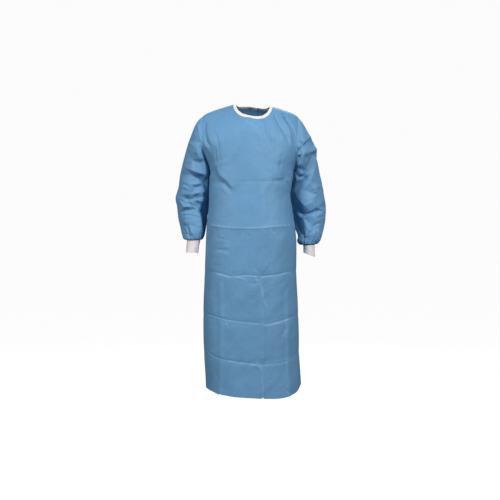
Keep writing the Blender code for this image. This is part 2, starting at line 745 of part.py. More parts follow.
def lying_piece(name, panels, x, z, under, over, finish):
    """A piece laid on the back: its underside and top stand off the cloth as given."""
    point, normal = back_surface(x, z)
    base = cloth_stand(panels, x, z)
    outer = point + normal * (base + over)[..., None]
    inner = point + normal * (base + under)[..., None]
    wall(name, outer, inner, finish)


def strip(x_ends, z_ends, x_steps, z_steps):
    """A grid of x and z over a rectangle."""
    x, z = np.linspace(*x_ends, x_steps + 1), np.linspace(*z_ends, z_steps + 1)
    return np.meshgrid(x, z)


def neck_tab(panels, finish):
    x, z = strip(TAB_X, TAB_Z, 10, 3)
    flat = np.full(x.shape, CLEARANCE)
    lying_piece("neck_tab", panels, x, z, flat, flat + TAPE, finish)


def waist_ties(panels, finish):
    """Two ties on the back, from the outer panel's edge and from the right side seam."""
    reach = {
        LEFT: (KNOT_X[1] + SEAM_GAP, -read(LAP, "outer", TIE_HEIGHT) + TIE_ON_PANEL),
        RIGHT: (side_line(TIE_HEIGHT, RIGHT) + TIE_FROM_SEAM, KNOT_X[0] - SEAM_GAP),
    }
    for hand, word in ((RIGHT, "right"), (LEFT, "left")):
        x, z = strip(reach[hand], (TIE_HEIGHT - TIE_HALF, TIE_HEIGHT + TIE_HALF), 6, 3)
        flat = np.full(x.shape, CLEARANCE)
        lying_piece(f"waist_tie_{word}", panels, x, z, flat, flat + TAPE, finish)


def tie_knot(panels, finish):
    x, z = strip(KNOT_X, KNOT_Z, 6, 6)
    across = 1 - np.linspace(-1, 1, 7) ** 2
    flat = np.full(x.shape, CLEARANCE)
    dome = KNOT_EDGE + KNOT_RISE * across[None, :] * across[:, None]
    lying_piece("tie_knot", panels, x, z, flat, flat + dome, finish)


def tie_ends(panels, finish):
    """The two free ends, hanging down the back below the knot."""
    for hand, x_top, x_foot, foot, rise in TIE_ENDS[1:]:
        word = "right" if hand == RIGHT else "left"
        down = np.linspace(0, 1, 13)
        middle = x_top + (x_foot - x_top) * down**1.5
        x = middle[:, None] + np.linspace(-0.5, 0.5, 3) * END_WIDTH
        z = (KNOT_Z[0] - SEAM_GAP + (foot - KNOT_Z[0]) * down)[:, None] + np.zeros(x.shape)
        stand = CLEARANCE + rise * np.sin(math.pi * down)[:, None] + np.zeros(x.shape)
        lying_piece(f"tie_end_{word}", panels, x, z, stand, stand + TAPE, finish)


def main():
    for existing in list(bpy.data.objects):
        bpy.data.objects.remove(existing)
    cloth = material("gown_cloth", GOWN_BLUE, 0.75)
    knit = material("white_knit", KNIT_WHITE, 0.9)
    tape = material("tie_tape", TIE_BLUE, 0.8)
    front = body_panel("front_panel", FRONT, None, cloth)
    inner_back = body_panel("back_panel_right", BACK, RIGHT, cloth)
    outer_back = body_panel("back_panel_left", BACK, LEFT, cloth)
    sleeve("sleeve_right", RIGHT_SLEEVE, RIGHT, front, inner_back, cloth)
    sleeve("sleeve_left", LEFT_SLEEVE, LEFT, front, outer_back, cloth)
    cuff("cuff_right", RIGHT, knit)
    cuff("cuff_left", LEFT, knit)
    neck_binding(front, outer_back, inner_back, knit)
    panels = [surface_tree(name) for name in ("back_panel_right", "back_panel_left")]
    neck_tab(panels, knit)
    waist_ties(panels, tape)
    tie_knot(panels, tape)
    tie_ends(panels, tape)


main()
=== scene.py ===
"""Looks for a wrap-over surgical gown in its worn shape: crisp blue non-woven cloth with
packing creases, rib-knit cuffs, a white neck binding and taped ties. Metres, +Z up, the front
towards -Y and the wearer's left towards +X, as in the CAD model."""

import math

import bmesh
import bpy
import numpy as np
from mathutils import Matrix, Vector
from mathutils.bvhtree import BVHTree
from mathutils.geometry import delaunay_2d_cdt


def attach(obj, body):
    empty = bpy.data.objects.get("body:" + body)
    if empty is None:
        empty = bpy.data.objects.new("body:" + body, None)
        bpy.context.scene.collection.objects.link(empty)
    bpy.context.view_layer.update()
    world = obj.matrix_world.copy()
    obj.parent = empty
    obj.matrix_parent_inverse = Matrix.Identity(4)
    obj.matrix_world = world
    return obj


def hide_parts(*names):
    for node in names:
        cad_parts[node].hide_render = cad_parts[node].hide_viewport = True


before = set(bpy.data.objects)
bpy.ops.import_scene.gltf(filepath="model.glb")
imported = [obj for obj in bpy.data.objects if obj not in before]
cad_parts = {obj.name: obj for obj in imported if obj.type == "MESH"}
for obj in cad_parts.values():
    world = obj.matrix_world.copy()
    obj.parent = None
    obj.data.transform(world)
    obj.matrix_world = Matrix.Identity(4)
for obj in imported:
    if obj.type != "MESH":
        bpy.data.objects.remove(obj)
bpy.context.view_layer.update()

# Sizes of the cloth and of its seams
CLOTH = 0.0009
KNIT = 0.0016
SEAM_GAP = 0.0001

# Sides of the garment, as the sign of y or of x
FRONT, BACK = -1, 1
RIGHT, LEFT = -1, 1


def table(names, *rows):
    """Columns by name. The first column is the one that the rest are read along."""
    ordered = sorted(rows)
    return {name: np.array([row[i] for row in ordered], float) for i, name in enumerate(names)}


# The body of the gown, level by level: its middle line, half width and depths
TORSO = table(
    ("height", "middle", "half_width", "front", "back"),
    (0.040, 0.0000, 0.250, 0.118, 0.105),
    (-0.048, 0.0000, 0.250, 0.124, 0.112),
    (-0.110, 0.0000, 0.250, 0.131, 0.122),
    (-0.170, 0.0010, 0.243, 0.138, 0.130),
    (-0.230, 0.0060, 0.214, 0.146, 0.134),
    (-0.290, 0.0085, 0.1905, 0.152, 0.134),
    (-0.355, 0.0030, 0.186, 0.157, 0.130),
    (-0.405, -0.0015, 0.183, 0.161, 0.126),
    (-0.463, 0.0020, 0.188, 0.166, 0.122),
    (-0.553, 0.0040, 0.199, 0.171, 0.123),
    (-0.616, 0.0050, 0.2034, 0.172, 0.130),
    (-0.765, 0.0023, 0.2061, 0.170, 0.141),
    (-0.895, 0.0030, 0.2118, 0.166, 0.146),
    (-1.040, 0.0053, 0.2144, 0.165, 0.148),
    (-1.110, 0.0067, 0.2133, 0.166, 0.149),
    (-1.183, 0.0113, 0.2136, 0.167, 0.150),
    (-1.255, 0.0154, 0.2140, 0.169, 0.151),
    (-1.330, 0.0165, 0.2140, 0.170, 0.152),
)
SECTION_FULLNESS = {FRONT: 2.45, BACK: 2.15}

# The shoulder line seen from the front, out from the middle
SHOULDER = table(
    ("out", "height"),
    (0.000, 0.0240),
    (0.040, 0.0130),
    (0.075, 0.0010),
    (0.100, -0.0062),
    (0.120, -0.0125),
    (0.150, -0.0222),
    (0.175, -0.0312),
    (0.190, -0.0372),
    (0.205, -0.0458),
    (0.2135, -0.0528),
    (0.240, -0.0745),
)
SHOULDER_END = 0.2135
ROUND_OVER = {FRONT: 0.160, BACK: 0.130}
ROUND_POWER = 1.7

# The armholes: how far inside the body's side line they run, from shoulder to armpit
ARMPIT = {RIGHT: -0.2835, LEFT: -0.3120}
ARMHOLE = table(
    ("share", "inset"),
    (0.00, 0.0365),
    (0.15, 0.0370),
    (0.46, 0.0380),
    (0.72, 0.0165),
    (0.89, 0.0040),
    (1.00, 0.0000),
)

# The neck opening
NECK_MIDDLE = 0.0125
NECK_HALF = 0.0845
NECK_DROP = {FRONT: 0.090, BACK: 0.030}
NECK_POWER = 1.1

# Where the back panels' free edges run past the middle: LEFT lies outside
LAP = table(
    ("height", "outer", "inner"),
    (0.000, 0.045, 0.030),
    (-0.250, 0.085, 0.060),
    (-0.480, 0.100, 0.075),
    (-0.900, 0.115, 0.085),
    (-1.330, 0.130, 0.090),
)
LAP_LIFT = 0.0038
LIFT_RUN = 0.045
LIFT_MARGIN = 0.008

# The front hem, from the wearer's right to the left
HEM = table(
    ("x", "height"),
    (-0.1980, -1.2650),
    (-0.1655, -1.2758),
    (-0.1290, -1.2868),
    (-0.1115, -1.2875),
    (-0.0760, -1.2926),
    (0.0110, -1.2980),
    (0.1155, -1.3015),
    (0.1511, -1.2985),
    (0.1874, -1.2880),
    (0.2063, -1.2790),
    (0.2260, -1.2515),
)

# Heights of the packing creases that run round the gown, and their rise at the sides
CREASE_LEVELS = (
    ("height", "side_rise"),
    (-0.5590, 0.014),
    (-0.7594, 0.013),
    (-0.9610, 0.015),
    (-1.1350, 0.022),
)
SIDE_REACH = 0.200

# Sleeves as rings: the outer and inner line, and depths in front of them and behind
SLEEVE_COLUMNS = ("ring", "out", "out_z", "in", "in_z", "front", "back", "out_y", "in_y")
RIGHT_SLEEVE = (
    (1, 0.2225, -0.0600, 0.1870, -0.2778, 0.083, 0.077, 0.000, 0.000),
    (2, 0.2345, -0.0735, 0.1930, -0.2750, 0.083, 0.077, 0.001, 0.001),
    (3, 0.2478, -0.0955, 0.1980, -0.2800, 0.083, 0.077, 0.004, 0.004),
    (4, 0.2612, -0.1265, 0.1980, -0.2970, 0.083, 0.076, 0.009, 0.010),
    (5, 0.2772, -0.1665, 0.1925, -0.3185, 0.082, 0.075, 0.016, 0.021),
    (6, 0.2912, -0.2090, 0.1865, -0.3415, 0.080, 0.073, 0.025, 0.033),
    (7, 0.3044, -0.2620, 0.1845, -0.3690, 0.078, 0.071, 0.034, 0.044),
    (8, 0.3160, -0.3120, 0.1860, -0.3950, 0.076, 0.070, 0.041, 0.047),
    (9, 0.3232, -0.3650, 0.1865, -0.4170, 0.074, 0.069, 0.045, 0.049),
    (10, 0.3372, -0.4180, 0.1880, -0.4450, 0.072, 0.068, 0.047, 0.050),
    (11, 0.3308, -0.4530, 0.1895, -0.4720, 0.070, 0.066, 0.047, 0.049),
    (12, 0.3260, -0.4995, 0.1925, -0.5030, 0.067, 0.063, 0.043, 0.045),
    (13, 0.3168, -0.5440, 0.1965, -0.5400, 0.062, 0.059, 0.033, 0.035),
    (14, 0.3080, -0.5800, 0.2015, -0.5720, 0.056, 0.053, 0.018, 0.018),
    (15, 0.2998, -0.6010, 0.2085, -0.5950, 0.049, 0.047, 0.006, 0.006),
    (16, 0.2915, -0.6065, 0.2165, -0.6055, 0.041, 0.039, 0.000, 0.000),
)
LEFT_SLEEVE = (
    (1, 0.2225, -0.0630, 0.2000, -0.3056, 0.088, 0.082, 0.000, 0.000),
    (2, 0.2345, -0.0785, 0.2063, -0.3024, 0.088, 0.082, 0.001, 0.001),
    (3, 0.2475, -0.0980, 0.2115, -0.3073, 0.088, 0.082, 0.004, 0.004),
    (4, 0.2622, -0.1240, 0.2115, -0.3240, 0.087, 0.081, 0.009, 0.010),
    (5, 0.2822, -0.1610, 0.2035, -0.3430, 0.085, 0.079, 0.016, 0.021),
    (6, 0.2981, -0.2010, 0.1940, -0.3650, 0.082, 0.076, 0.025, 0.033),
    (7, 0.3024, -0.2520, 0.1860, -0.3880, 0.079, 0.073, 0.034, 0.044),
    (8, 0.3133, -0.3070, 0.1850, -0.4120, 0.077, 0.071, 0.041, 0.047),
    (9, 0.3269, -0.3610, 0.1878, -0.4350, 0.075, 0.070, 0.045, 0.049),
    (10, 0.3375, -0.4140, 0.1915, -0.4620, 0.073, 0.068, 0.047, 0.050),
    (11, 0.3450, -0.4600, 0.1955, -0.4900, 0.070, 0.066, 0.047, 0.049),
    (12, 0.3435, -0.5060, 0.2003, -0.5210, 0.067, 0.063, 0.043, 0.045),
    (13, 0.3348, -0.5480, 0.2055, -0.5550, 0.063, 0.060, 0.034, 0.036),
    (14, 0.3232, -0.5870, 0.2185, -0.5900, 0.057, 0.055, 0.018, 0.018),
    (15, 0.3140, -0.6125, 0.2125, -0.6120, 0.050, 0.048, 0.006, 0.006),
    (16, 0.3010, -0.6255, 0.2220, -0.6285, 0.041, 0.039, 0.000, 0.000),
)
LAST_RING = 16
# how the sleeve's gathered end turns down over the cuff's seam
TURN_OUT, TURN_HEIGHT, TURN_SWELL = 0.0010, 0.0042, 0.0040
UNDERARM = table(
    ("ring", "right", "left"),
    (1, 0.0000, 0.0000),
    (2, 0.0080, 0.0090),
    (3, 0.0155, 0.0165),
    (4, 0.0195, 0.0205),
    (5, 0.0165, 0.0185),
    (6, 0.0105, 0.0110),
    (8, 0.0040, 0.0045),
    (10, 0.0035, 0.0045),
    (12, 0.0000, 0.0020),
    (16, 0.0000, 0.0000),
)
UNDERARM_END = 12
ARMHOLE_BLEND = 5
SIDE_FADE = 0.5

# Cuffs: the seam ring and the open end, as outer and inner line and half depth
CUFF_COLUMNS = ("end", "out", "out_z", "in", "in_z", "half_depth", "middle_y")
CUFFS = {
    RIGHT: table(
        CUFF_COLUMNS,
        (0, 0.2835, -0.6090, 0.2237, -0.6090, 0.0325, -0.002),
        (1, 0.2880, -0.6635, 0.2327, -0.6665, 0.0300, -0.010),
    ),
    LEFT: table(
        CUFF_COLUMNS,
        (0, 0.2910, -0.6305, 0.2394, -0.6325, 0.0310, -0.002),
        (1, 0.2925, -0.6830, 0.2405, -0.6645, 0.0290, -0.010),
    ),
}
CUFF_RIBS, RIB_POINTS, CUFF_ROWS = 44, 8, 33
RIB_RELIEF = 0.0006
CUFF_DRAWN = 0.0006
CUFF_WAVE = 0.0005

# The neck binding's section, from its stitched edge on the cloth up the outside to the fold
BINDING = table(
    ("height", "swell"),
    (-0.0044, 0.0004),
    (-0.0042, 0.0013),
    (-0.0034, 0.0011),
    (-0.0016, 0.0016),
    (0.0008, 0.0018),
    (0.0030, 0.0018),
    (0.0050, 0.0016),
    (0.0068, 0.0012),
    (0.0079, 0.0004),
    (0.0084, -0.0006),
)
BINDING_THICKNESS, BINDING_INSIDE = 0.0012, 0.0002
BINDING_STITCH_HEIGHT = 0.0014
BINDING_EVEN, BINDING_ROUND = 12, 36

# Pieces that lie on the back: the neck tab, the waist ties, their knot and free ends
TAPE = 0.0012
TIE_CLOTH, PLEAT = 0.0008, 0.0008
CLEARANCE = 0.0006
NEAR = 0.006
TAB_X = (-0.078, -0.016)
TAB_Z = (-0.050, -0.028)
TAB_CORNER = 0.0016
# the stitched groove inside the tab's edge, and the edge itself: depth, inset, reach
TAB_GROOVE = (0.0004, 0.0028, 0.0012)
TAB_EDGE = (0.0004, 0.0, 0.0010)
TIE_HEIGHT = -0.470
TIE_HALF = 0.0125
TIE_ON_PANEL = 0.018
TIE_FROM_SEAM = 0.004
KNOT_X = (-0.150, -0.122)
KNOT_Z = (-0.486, -0.454)
END_WIDTH = 0.022
TIE_ENDS = (
    ("hand", "x_top", "x_foot", "foot", "rise"),
    (RIGHT, -0.1485, -0.170, -0.668, 0.003),
    (LEFT, -0.1235, -0.108, -0.640, 0.003),
)

# Stitches
STITCH_PITCH, STITCH_LENGTH, STITCH_INSET = 0.0040, 0.0030, 0.0032
THREAD, THREAD_SIDES = 0.00032, 5

# How finely the cloth is divided
NECK_STEPS = 72
SHOULDER_STEPS = 36
BACK_NECK_STEPS = 40
ARMHOLE_STEPS = 64
LEVEL_STEPS = (62, 50, 50, 44, 40)
CROWDING = 0.5
FAN_POWER = 2.4
RINGS_EACH = 12
NECK_ROWS = 3
NECK_SAMPLES = 400
SLOPE_STEP = 1e-4
TOUCHING = 1e-6
SEAM_BLEND = 0.030


def read(source, name, at):
    """A smooth curve through one column of a table, without overshoot, flat past its ends."""
    keys = next(iter(source.values()))
    values = source[name]
    at = np.clip(np.asarray(at, float), keys[0], keys[-1])
    span = np.diff(keys)
    slope = np.diff(values) / span
    tangent = np.concatenate([slope[:1], np.zeros(len(slope) - 1), slope[-1:]])
    same = slope[:-1] * slope[1:] > 0
    product = 2 * slope[:-1] * slope[1:]
    total = np.where(same, slope[:-1] + slope[1:], 1.0)
    tangent[1:-1] = np.where(same, product / total, 0.0)
    k = np.clip(np.searchsorted(keys, at, side="right") - 1, 0, len(span) - 1)
    t = (at - keys[k]) / span[k]
    start, end = values[k], values[k + 1]
    lead, tail = tangent[k] * span[k], tangent[k + 1] * span[k]
    return (
        start * (1 + 2 * t) * (1 - t) ** 2
        + lead * t * (1 - t) ** 2
        + end * t**2 * (3 - 2 * t)
        + tail * t**2 * (t - 1)
    )


def ease(t):
    """From 0 to 1, level at both ends."""
    t = np.clip(t, 0, 1)
    return t * t * (3 - 2 * t)


def unit(vectors):
    """Directions of length 1."""
    length = np.linalg.norm(vectors, axis=-1, keepdims=True)
    return vectors / np.maximum(length, 1e-12)


def rise(curve, at):
    """The slope of a curve."""
    return (curve(at + SLOPE_STEP) - curve(at - SLOPE_STEP)) / (2 * SLOPE_STEP)


def ridge(x):
    """Height of the shoulder line."""
    return read(SHOULDER, "height", np.abs(x))


def body_depth(x, z, side):
    """How far the body's cloth stands in front of, or behind, the side seams' plane."""
    middle, half = read(TORSO, "middle", z), read(TORSO, "half_width", z)
    full = read(TORSO, "front" if side == FRONT else "back", z)
    across = np.clip(np.abs(x - middle) / half, 0, 1)
    drop = np.clip((ridge(x) - z) / ROUND_OVER[side], 0, 1)
    shoulder = (1 - (1 - drop) ** ROUND_POWER) ** (1 / ROUND_POWER)
    power = SECTION_FULLNESS[side]
    return full * shoulder * (1 - across**power) ** (1 / power)


def side_line(z, hand):
    """Where the body's outline is at height z, on one side."""
    return read(TORSO, "middle", z) + hand * read(TORSO, "half_width", z)


def panel_edge(z, hand):
    """The outer edge of front and back: the armhole, then the side seam below the armpit."""
    top = ridge(SHOULDER_END)
    share = (top - z) / (top - ARMPIT[hand])
    return side_line(z, hand) - hand * read(ARMHOLE, "inset", share)


def edge_angle(x, z, side):
    """The angle round the body's section at which its cloth reaches x."""
    middle, half = read(TORSO, "middle", z), read(TORSO, "half_width", z)
    across = np.clip((x - middle) / half, -1, 1)
    return np.sign(across) * np.arcsin(np.abs(across) ** (SECTION_FULLNESS[side] / 2))


def at_angle(angle, z, side):
    """Where x is at an angle round the body's section."""
    middle, half = read(TORSO, "middle", z), read(TORSO, "half_width", z)
    sine = np.sin(angle)
    return middle + half * np.sign(sine) * np.abs(sine) ** (2 / SECTION_FULLNESS[side])


def neck_height(x, side):
    """Height of the neck edge above the cloth at x."""
    cosine = np.clip((NECK_MIDDLE - x) / NECK_HALF, -1, 1)
    return ridge(x) - NECK_DROP[side] * np.sqrt(1 - cosine**2) ** NECK_POWER


def levels(x, side):
    """Heights of the armpit line, the packing creases and the hem at x."""
    lean = (ARMPIT[LEFT] - ARMPIT[RIGHT]) / 2
    armpit = (ARMPIT[LEFT] + ARMPIT[RIGHT]) / 2 + lean * np.clip(x / SIDE_REACH, -1, 1)
    found = [armpit]
    for height, side_rise in CREASE_LEVELS[1:]:
        found.append(height + side_rise * (x / SIDE_REACH) ** 2)
    if side == FRONT:
        found.append(read(HEM, "height", x) + hem_nicks(x))
    else:
        ends = HEM["height"][0], HEM["height"][-1]
        share = (x - HEM["x"][0]) / (HEM["x"][-1] - HEM["x"][0])
        found.append(ends[0] + (ends[1] - ends[0]) * ease(share))
    return found


# Small nicks where folds meet the front hem
HEM_NICKS = (("x", "rise", "reach"), (-0.1300, 0.0030, 0.010), (0.0560, 0.0040, 0.009))


def hem_nicks(x):
    """How far small folds lift the hem at x."""
    total = np.zeros(np.shape(x))
    for middle, lift, reach in HEM_NICKS[1:]:
        total = total + lift * ease(1 - np.abs(x - middle) / reach)
    return total


# Folds seen from the front of their piece, in millimetres. Left and right are the reach on
# either side of the path's own direction; fades are shares of its length; white is the
# painted highlight along the crease, a pale line standing in for light on its flank;
# the path's points are x and z.
FOLD_COLUMNS = ("relief", "left", "right", "sharp", "fade_in", "fade_out", "white", "path")
SOFT, SHARP = 0, 1
# how far the painted crease highlight reaches to either side of the crease line
HIGHLIGHT_REACH = 0.0050
# how much deeper the cloth folds than the tables say, on the body and on the sleeves
BODY_DEPTH, SLEEVE_DEPTH = 0.62, 1.30


def folds(columns, *rows):
    """The rows of a fold table, in metres and with the points of each path together."""
    found = []
    for row in rows:
        relief, left, right, *shape = row[: len(columns) - 1]
        path = tuple((x / 1000, z / 1000) for x, z in row[len(columns) - 1 :])
        found.append((relief / 1000, left / 1000, right / 1000, *shape, path))
    return found


FRONT_FOLDS = folds(
    FOLD_COLUMNS,
    # drag lines from the neck over the chest
    (-10.1, 30, 9, SHARP, 0.03, 0.35, 0.2, (-58.5, -38), (-38, -64), (-19, -82), (7, -97), (37, -119),
     (52, -140)),
    (3.6, 18, 30, SOFT, 0.1, 0.4, 0, (-48, -36), (-23, -67), (10, -88), (48, -112)),
    (-8.6, 7, 10, SHARP, 0.03, 0.35, 0, (66, -56), (71, -98), (79, -142), (91, -180), (99, -225)),
    (-6.6, 7, 8, SHARP, 0.2, 0.35, 0, (39, -98), (47, -125), (56, -160)),
    (-9.7, 8, 10, SHARP, 0.03, 0.3, 0, (109, -50), (127, -93), (146, -123), (168, -164), (180, -190)),
    (-15.3, 10, 11, SHARP, 0.03, 0.25, 0, (150, -42), (167, -86), (186, -120), (196, -157), (197.5, -225)),
    (9.7, 9, 9, SHARP, 0.15, 0.25, 0, (142, -70), (168, -115), (183, -165)),
    (3, 16, 16, SOFT, 0.25, 0.4, 0, (88, -62), (101, -105), (112, -150)),
    (-5.1, 8, 9, SHARP, 0.25, 0.4, 0, (-170, -113), (-152, -147), (-140, -185), (-133, -275)),
    (-4.7, 8, 8, SHARP, 0.3, 0.4, 0, (-153, -190), (-150, -235), (-148, -290)),
    (-9.7, 14, 14, SHARP, 0.1, 0.3, 0, (-200, -78), (-204, -120), (-196, -162), (-185, -205)),
    (-5.1, 8, 8, SHARP, 0.25, 0.4, 0, (-196, -160), (-183, -185), (-165, -200)),
    (4.7, 9, 8, SHARP, 0.25, 0.4, 0, (-200, -185), (-183, -210), (-170, -230)),
    (-3.5, 8, 8, SHARP, 0.3, 0.4, 0, (98, -140), (108, -190), (112, -260)),
    (-3.5, 8, 8, SHARP, 0.3, 0.4, 0, (-60, -80), (-48, -120), (-40, -180)),
    (-3.1, 8, 8, SHARP, 0.3, 0.4, 0, (145, -215), (136, -270), (128, -320)),
    # the chest stands proud of the waist, from below each armpit inwards
    (8.5, 80, 12, SHARP, 0.12, 0.25, 0, (-152, -262), (-130, -322), (-98, -350), (-62, -398)),
    (-8.5, 12, 60, SHARP, 0.15, 0.25, 0, (-168, -286), (-142, -340), (-108, -368), (-72, -408)),
    (4, 20, 16, SOFT, 0.25, 0.25, 0, (-132, -365), (-115, -385), (-95, -410)),
    (-8, 60, 20, SHARP, 0.2, 0.2, 0, (124, -262), (150, -305), (164, -352)),
    (-4.6, 10, 12, SHARP, 0.15, 0.3, 0, (140, -335), (166, -362), (185, -396)),
    (3.6, 10, 12, SHARP, 0.2, 0.3, 0, (160, -338), (176, -356), (188, -384)),
    (-5, 10, 22, SHARP, 0.2, 0.2, 0, (96, -346), (126, -347), (160, -342)),
    (-2.6, 10, 10, SHARP, 0.25, 0.35, 0, (-178, -300), (-172, -350), (-176, -410)),
    (-2.4, 10, 10, SHARP, 0.25, 0.35, 0, (188, -400), (170, -440), (164, -500)),
    # the high packing crease
    (-2.1, 4, 5, SHARP, 0.08, 0.1, 0.25, (-185, -354), (-130, -364), (-80, -357), (40, -355), (150, -352)),
    # the ridge at the hips
    (3.2, 9, 5, SHARP, 0.05, 0.05, 0.5, (-186, -541), (-125, -553), (-30, -559), (80, -555), (190, -543)),
    (-2.6, 6, 6, SHARP, 0.25, 0.3, 0.3, (78, -545), (93, -565), (115, -585)),
    (-2.4, 6, 6, SHARP, 0.25, 0.3, 0.2, (-150, -600), (-115, -606), (-80, -614)),
    # the middle packing crease and the crumple below it
    (-2.8, 7, 6, SHARP, 0.12, 0.05, 0.7, (-170, -748), (-130, -757), (-78, -768), (-15, -762), (36, -768)),
    (-2.8, 7, 6, SHARP, 0.05, 0.15, 0.7, (40, -768), (100, -763), (172, -750), (190, -742)),
    (2.6, 7, 6, SHARP, 0.2, 0.15, 0.5, (-70, -772), (-35, -778), (-15, -787)),
    (-3, 6, 7, SHARP, 0.1, 0.35, 0.3, (-16, -789), (14, -802), (37, -794), (48, -822), (56, -860),
     (69, -890), (84, -940)),
    (3.3, 7, 6, SHARP, 0.1, 0.3, 0.6, (20, -776), (43, -800), (56, -838), (64, -880), (88, -930)),
    (-2.1, 6, 6, SHARP, 0.25, 0.2, 0.2, (8, -705), (22, -735), (44, -750)),
    (2.1, 6, 6, SHARP, 0.25, 0.2, 0.2, (85, -690), (66, -728), (52, -752)),
    # the low packing creases
    (-2.4, 6, 6, SHARP, 0.05, 0.05, 0.4, (-202, -932), (-135, -948), (-98, -958), (-30, -965), (53, -974)),
    (-2.9, 7, 7, SHARP, 0.05, 0.1, 0.8, (56, -976), (90, -975), (150, -960), (195, -944)),
    (-2.2, 6, 6, SHARP, 0.05, 0.08, 0.2, (-202, -1088), (-157, -1118), (-100, -1134), (-90, -1136)),
    (-3, 7, 7, SHARP, 0.08, 0.03, 0.8, (-100, -1134), (-50, -1141), (-15, -1145), (23, -1152)),
    (-1.8, 6, 6, SHARP, 0.1, 0.1, 0.2, (30, -1153), (80, -1150), (140, -1146), (205, -1124)),
    # the centre fold kinks where it meets the lowest crease
    (6.2, 12, 14, SHARP, 0.1, 0.02, 0.35, (15, -1150), (40, -1162), (51, -1185), (54.5, -1240),
     (56, -1310)),
    (4.4, 26, 26, SOFT, 0.15, 0.1, 0, (56, -360), (58, -560), (54, -760)),
    (5, 14, 22, SOFT, 0.2, 0.15, 0.1, (56, -900), (60, -1040), (57, -1160)),
    (4.8, 12, 26, SOFT, 0.08, 0.02, 0.1, (-124, -780), (-121.5, -960), (-124, -1130), (-130, -1310)),
    (4.4, 26, 12, SOFT, 0.12, 0.02, 0.1, (162, -800), (165, -1000), (165, -1160), (170, -1310)),
    (-3.4, 9, 9, SHARP, 0.3, 0.3, 0.5, (160, -985), (152, -1010), (144, -1034)),
    (-3.6, 10, 10, SHARP, 0.3, 0.3, 0.1, (153, -1258), (178, -1280), (200, -1300)),
    (-3.6, 10, 10, SHARP, 0.25, 0.3, 0.3, (-158, -648), (-120, -655), (-82, -664)),
    (2.8, 9, 9, SHARP, 0.3, 0.3, 0.3, (-115, -634), (-85, -640)),
    (3.4, 10, 9, SHARP, 0.3, 0.3, 0.4, (-106, -968), (-100, -985), (-92, -1010)),
)

BACK_FOLDS = folds(
    FOLD_COLUMNS,
    # drag lines from the tab and the shoulders
    (-4, 16, 14, SHARP, 0.1, 0.4, 0, (-85, -45), (-112, -90), (-135, -150)),
    (-3.6, 14, 16, SHARP, 0.1, 0.4, 0, (-70, -58), (-82, -110), (-86, -180)),
    (-4, 18, 14, SHARP, 0.1, 0.4, 0, (10, -45), (40, -95), (62, -160)),
    (-3, 14, 14, SHARP, 0.2, 0.4, 0, (60, -40), (95, -90), (125, -165)),
    (-4.5, 22, 22, SOFT, 0.1, 0.3, 0, (190, -100), (186, -180), (170, -260)),
    (-4.5, 22, 22, SOFT, 0.1, 0.3, 0, (-190, -90), (-188, -160), (-174, -240)),
    (-6, 40, 26, SOFT, 0.15, 0.25, 0, (174, -290), (145, -360), (108, -430)),
    (-6, 26, 40, SOFT, 0.15, 0.25, 0, (-170, -280), (-135, -350), (-112, -420)),
    # folds drawn in by the waist ties
    (-4.4, 13, 14, SHARP, 0.05, 0.45, 0, (-108, -452), (-88, -400), (-64, -350)),
    (-3.6, 12, 12, SHARP, 0.05, 0.45, 0, (-98, -460), (-60, -425), (-15, -402)),
    (-4, 13, 13, SHARP, 0.05, 0.45, 0, (-96, -486), (-52, -520), (-20, -570)),
    (-4.4, 14, 13, SHARP, 0.05, 0.45, 0, (-106, -492), (-86, -550), (-80, -640)),
    (4, 16, 16, SOFT, 0.1, 0.4, 0, (-101, -488), (-70, -540), (-56, -620)),
    (3.4, 14, 14, SOFT, 0.1, 0.4, 0, (-99, -454), (-74, -405), (-40, -360)),
    (-4, 14, 14, SHARP, 0.1, 0.4, 0, (-178, -452), (-170, -400), (-156, -340)),
    (-4, 14, 14, SHARP, 0.1, 0.4, 0, (-178, -488), (-168, -560), (-166, -650)),
    (3.6, 18, 18, SOFT, 0.15, 0.35, 0, (-150, -520), (-152, -640), (-155, -850)),
    # long soft folds of the skirt
    (5.5, 30, 34, SOFT, 0.2, 0.25, 0, (96, -470), (104, -650), (112, -900)),
    (5, 26, 30, SOFT, 0.2, 0.02, 0, (40, -860), (43, -1050), (46, -1300)),
    (-4, 24, 24, SOFT, 0.2, 0.02, 0, (140, -980), (145, -1120), (148, -1300)),
    (4.5, 24, 28, SOFT, 0.2, 0.02, 0, (-160, -960), (-163, -1120), (-166, -1300)),
    (-3.6, 22, 22, SOFT, 0.2, 0.25, 0, (10, -560), (14, -700), (12, -850)),
    # packing creases
    (-1.6, 7, 7, SHARP, 0.08, 0.08, 0.5, (-180, -356), (-50, -366), (50, -367), (180, -357)),
    (2, 9, 7, SHARP, 0.05, 0.05, 0.7, (-195, -546), (-60, -559), (60, -559), (195, -546)),
    (-3, 8, 9, SHARP, 0.05, 0.05, 0.8, (-200, -747), (-70, -760), (60, -761), (200, -746)),
    (-3, 8, 9, SHARP, 0.05, 0.05, 0.7, (-208, -944), (-70, -962), (60, -960), (208, -946)),
    (-3.2, 8, 9, SHARP, 0.05, 0.05, 0.8, (-208, -1112), (-70, -1136), (60, -1134), (212, -1113)),
    (-2.2, 10, 12, SHARP, 0.25, 0.35, 0.4, (30, -782), (56, -800), (68, -850), (76, -910)),
    (2.2, 10, 10, SHARP, 0.25, 0.35, 0.3, (-40, -980), (-25, -1010), (-20, -1060)),
    (-2, 10, 10, SHARP, 0.25, 0.35, 0.2, (100, -570), (125, -600), (135, -640)),
)

# The wide, shallow troughs that the sharp creases above lie in
TROUGHS = (
    ("height", "side_rise", "relief", "reach"),
    (-0.3600, 0.008, -0.0006, 0.024),
    (-0.5560, 0.014, 0.0008, 0.024),
    (-0.7640, 0.016, -0.0009, 0.024),
    (-0.9680, 0.022, -0.0009, 0.024),
    (-1.1440, 0.030, -0.0009, 0.024),
)

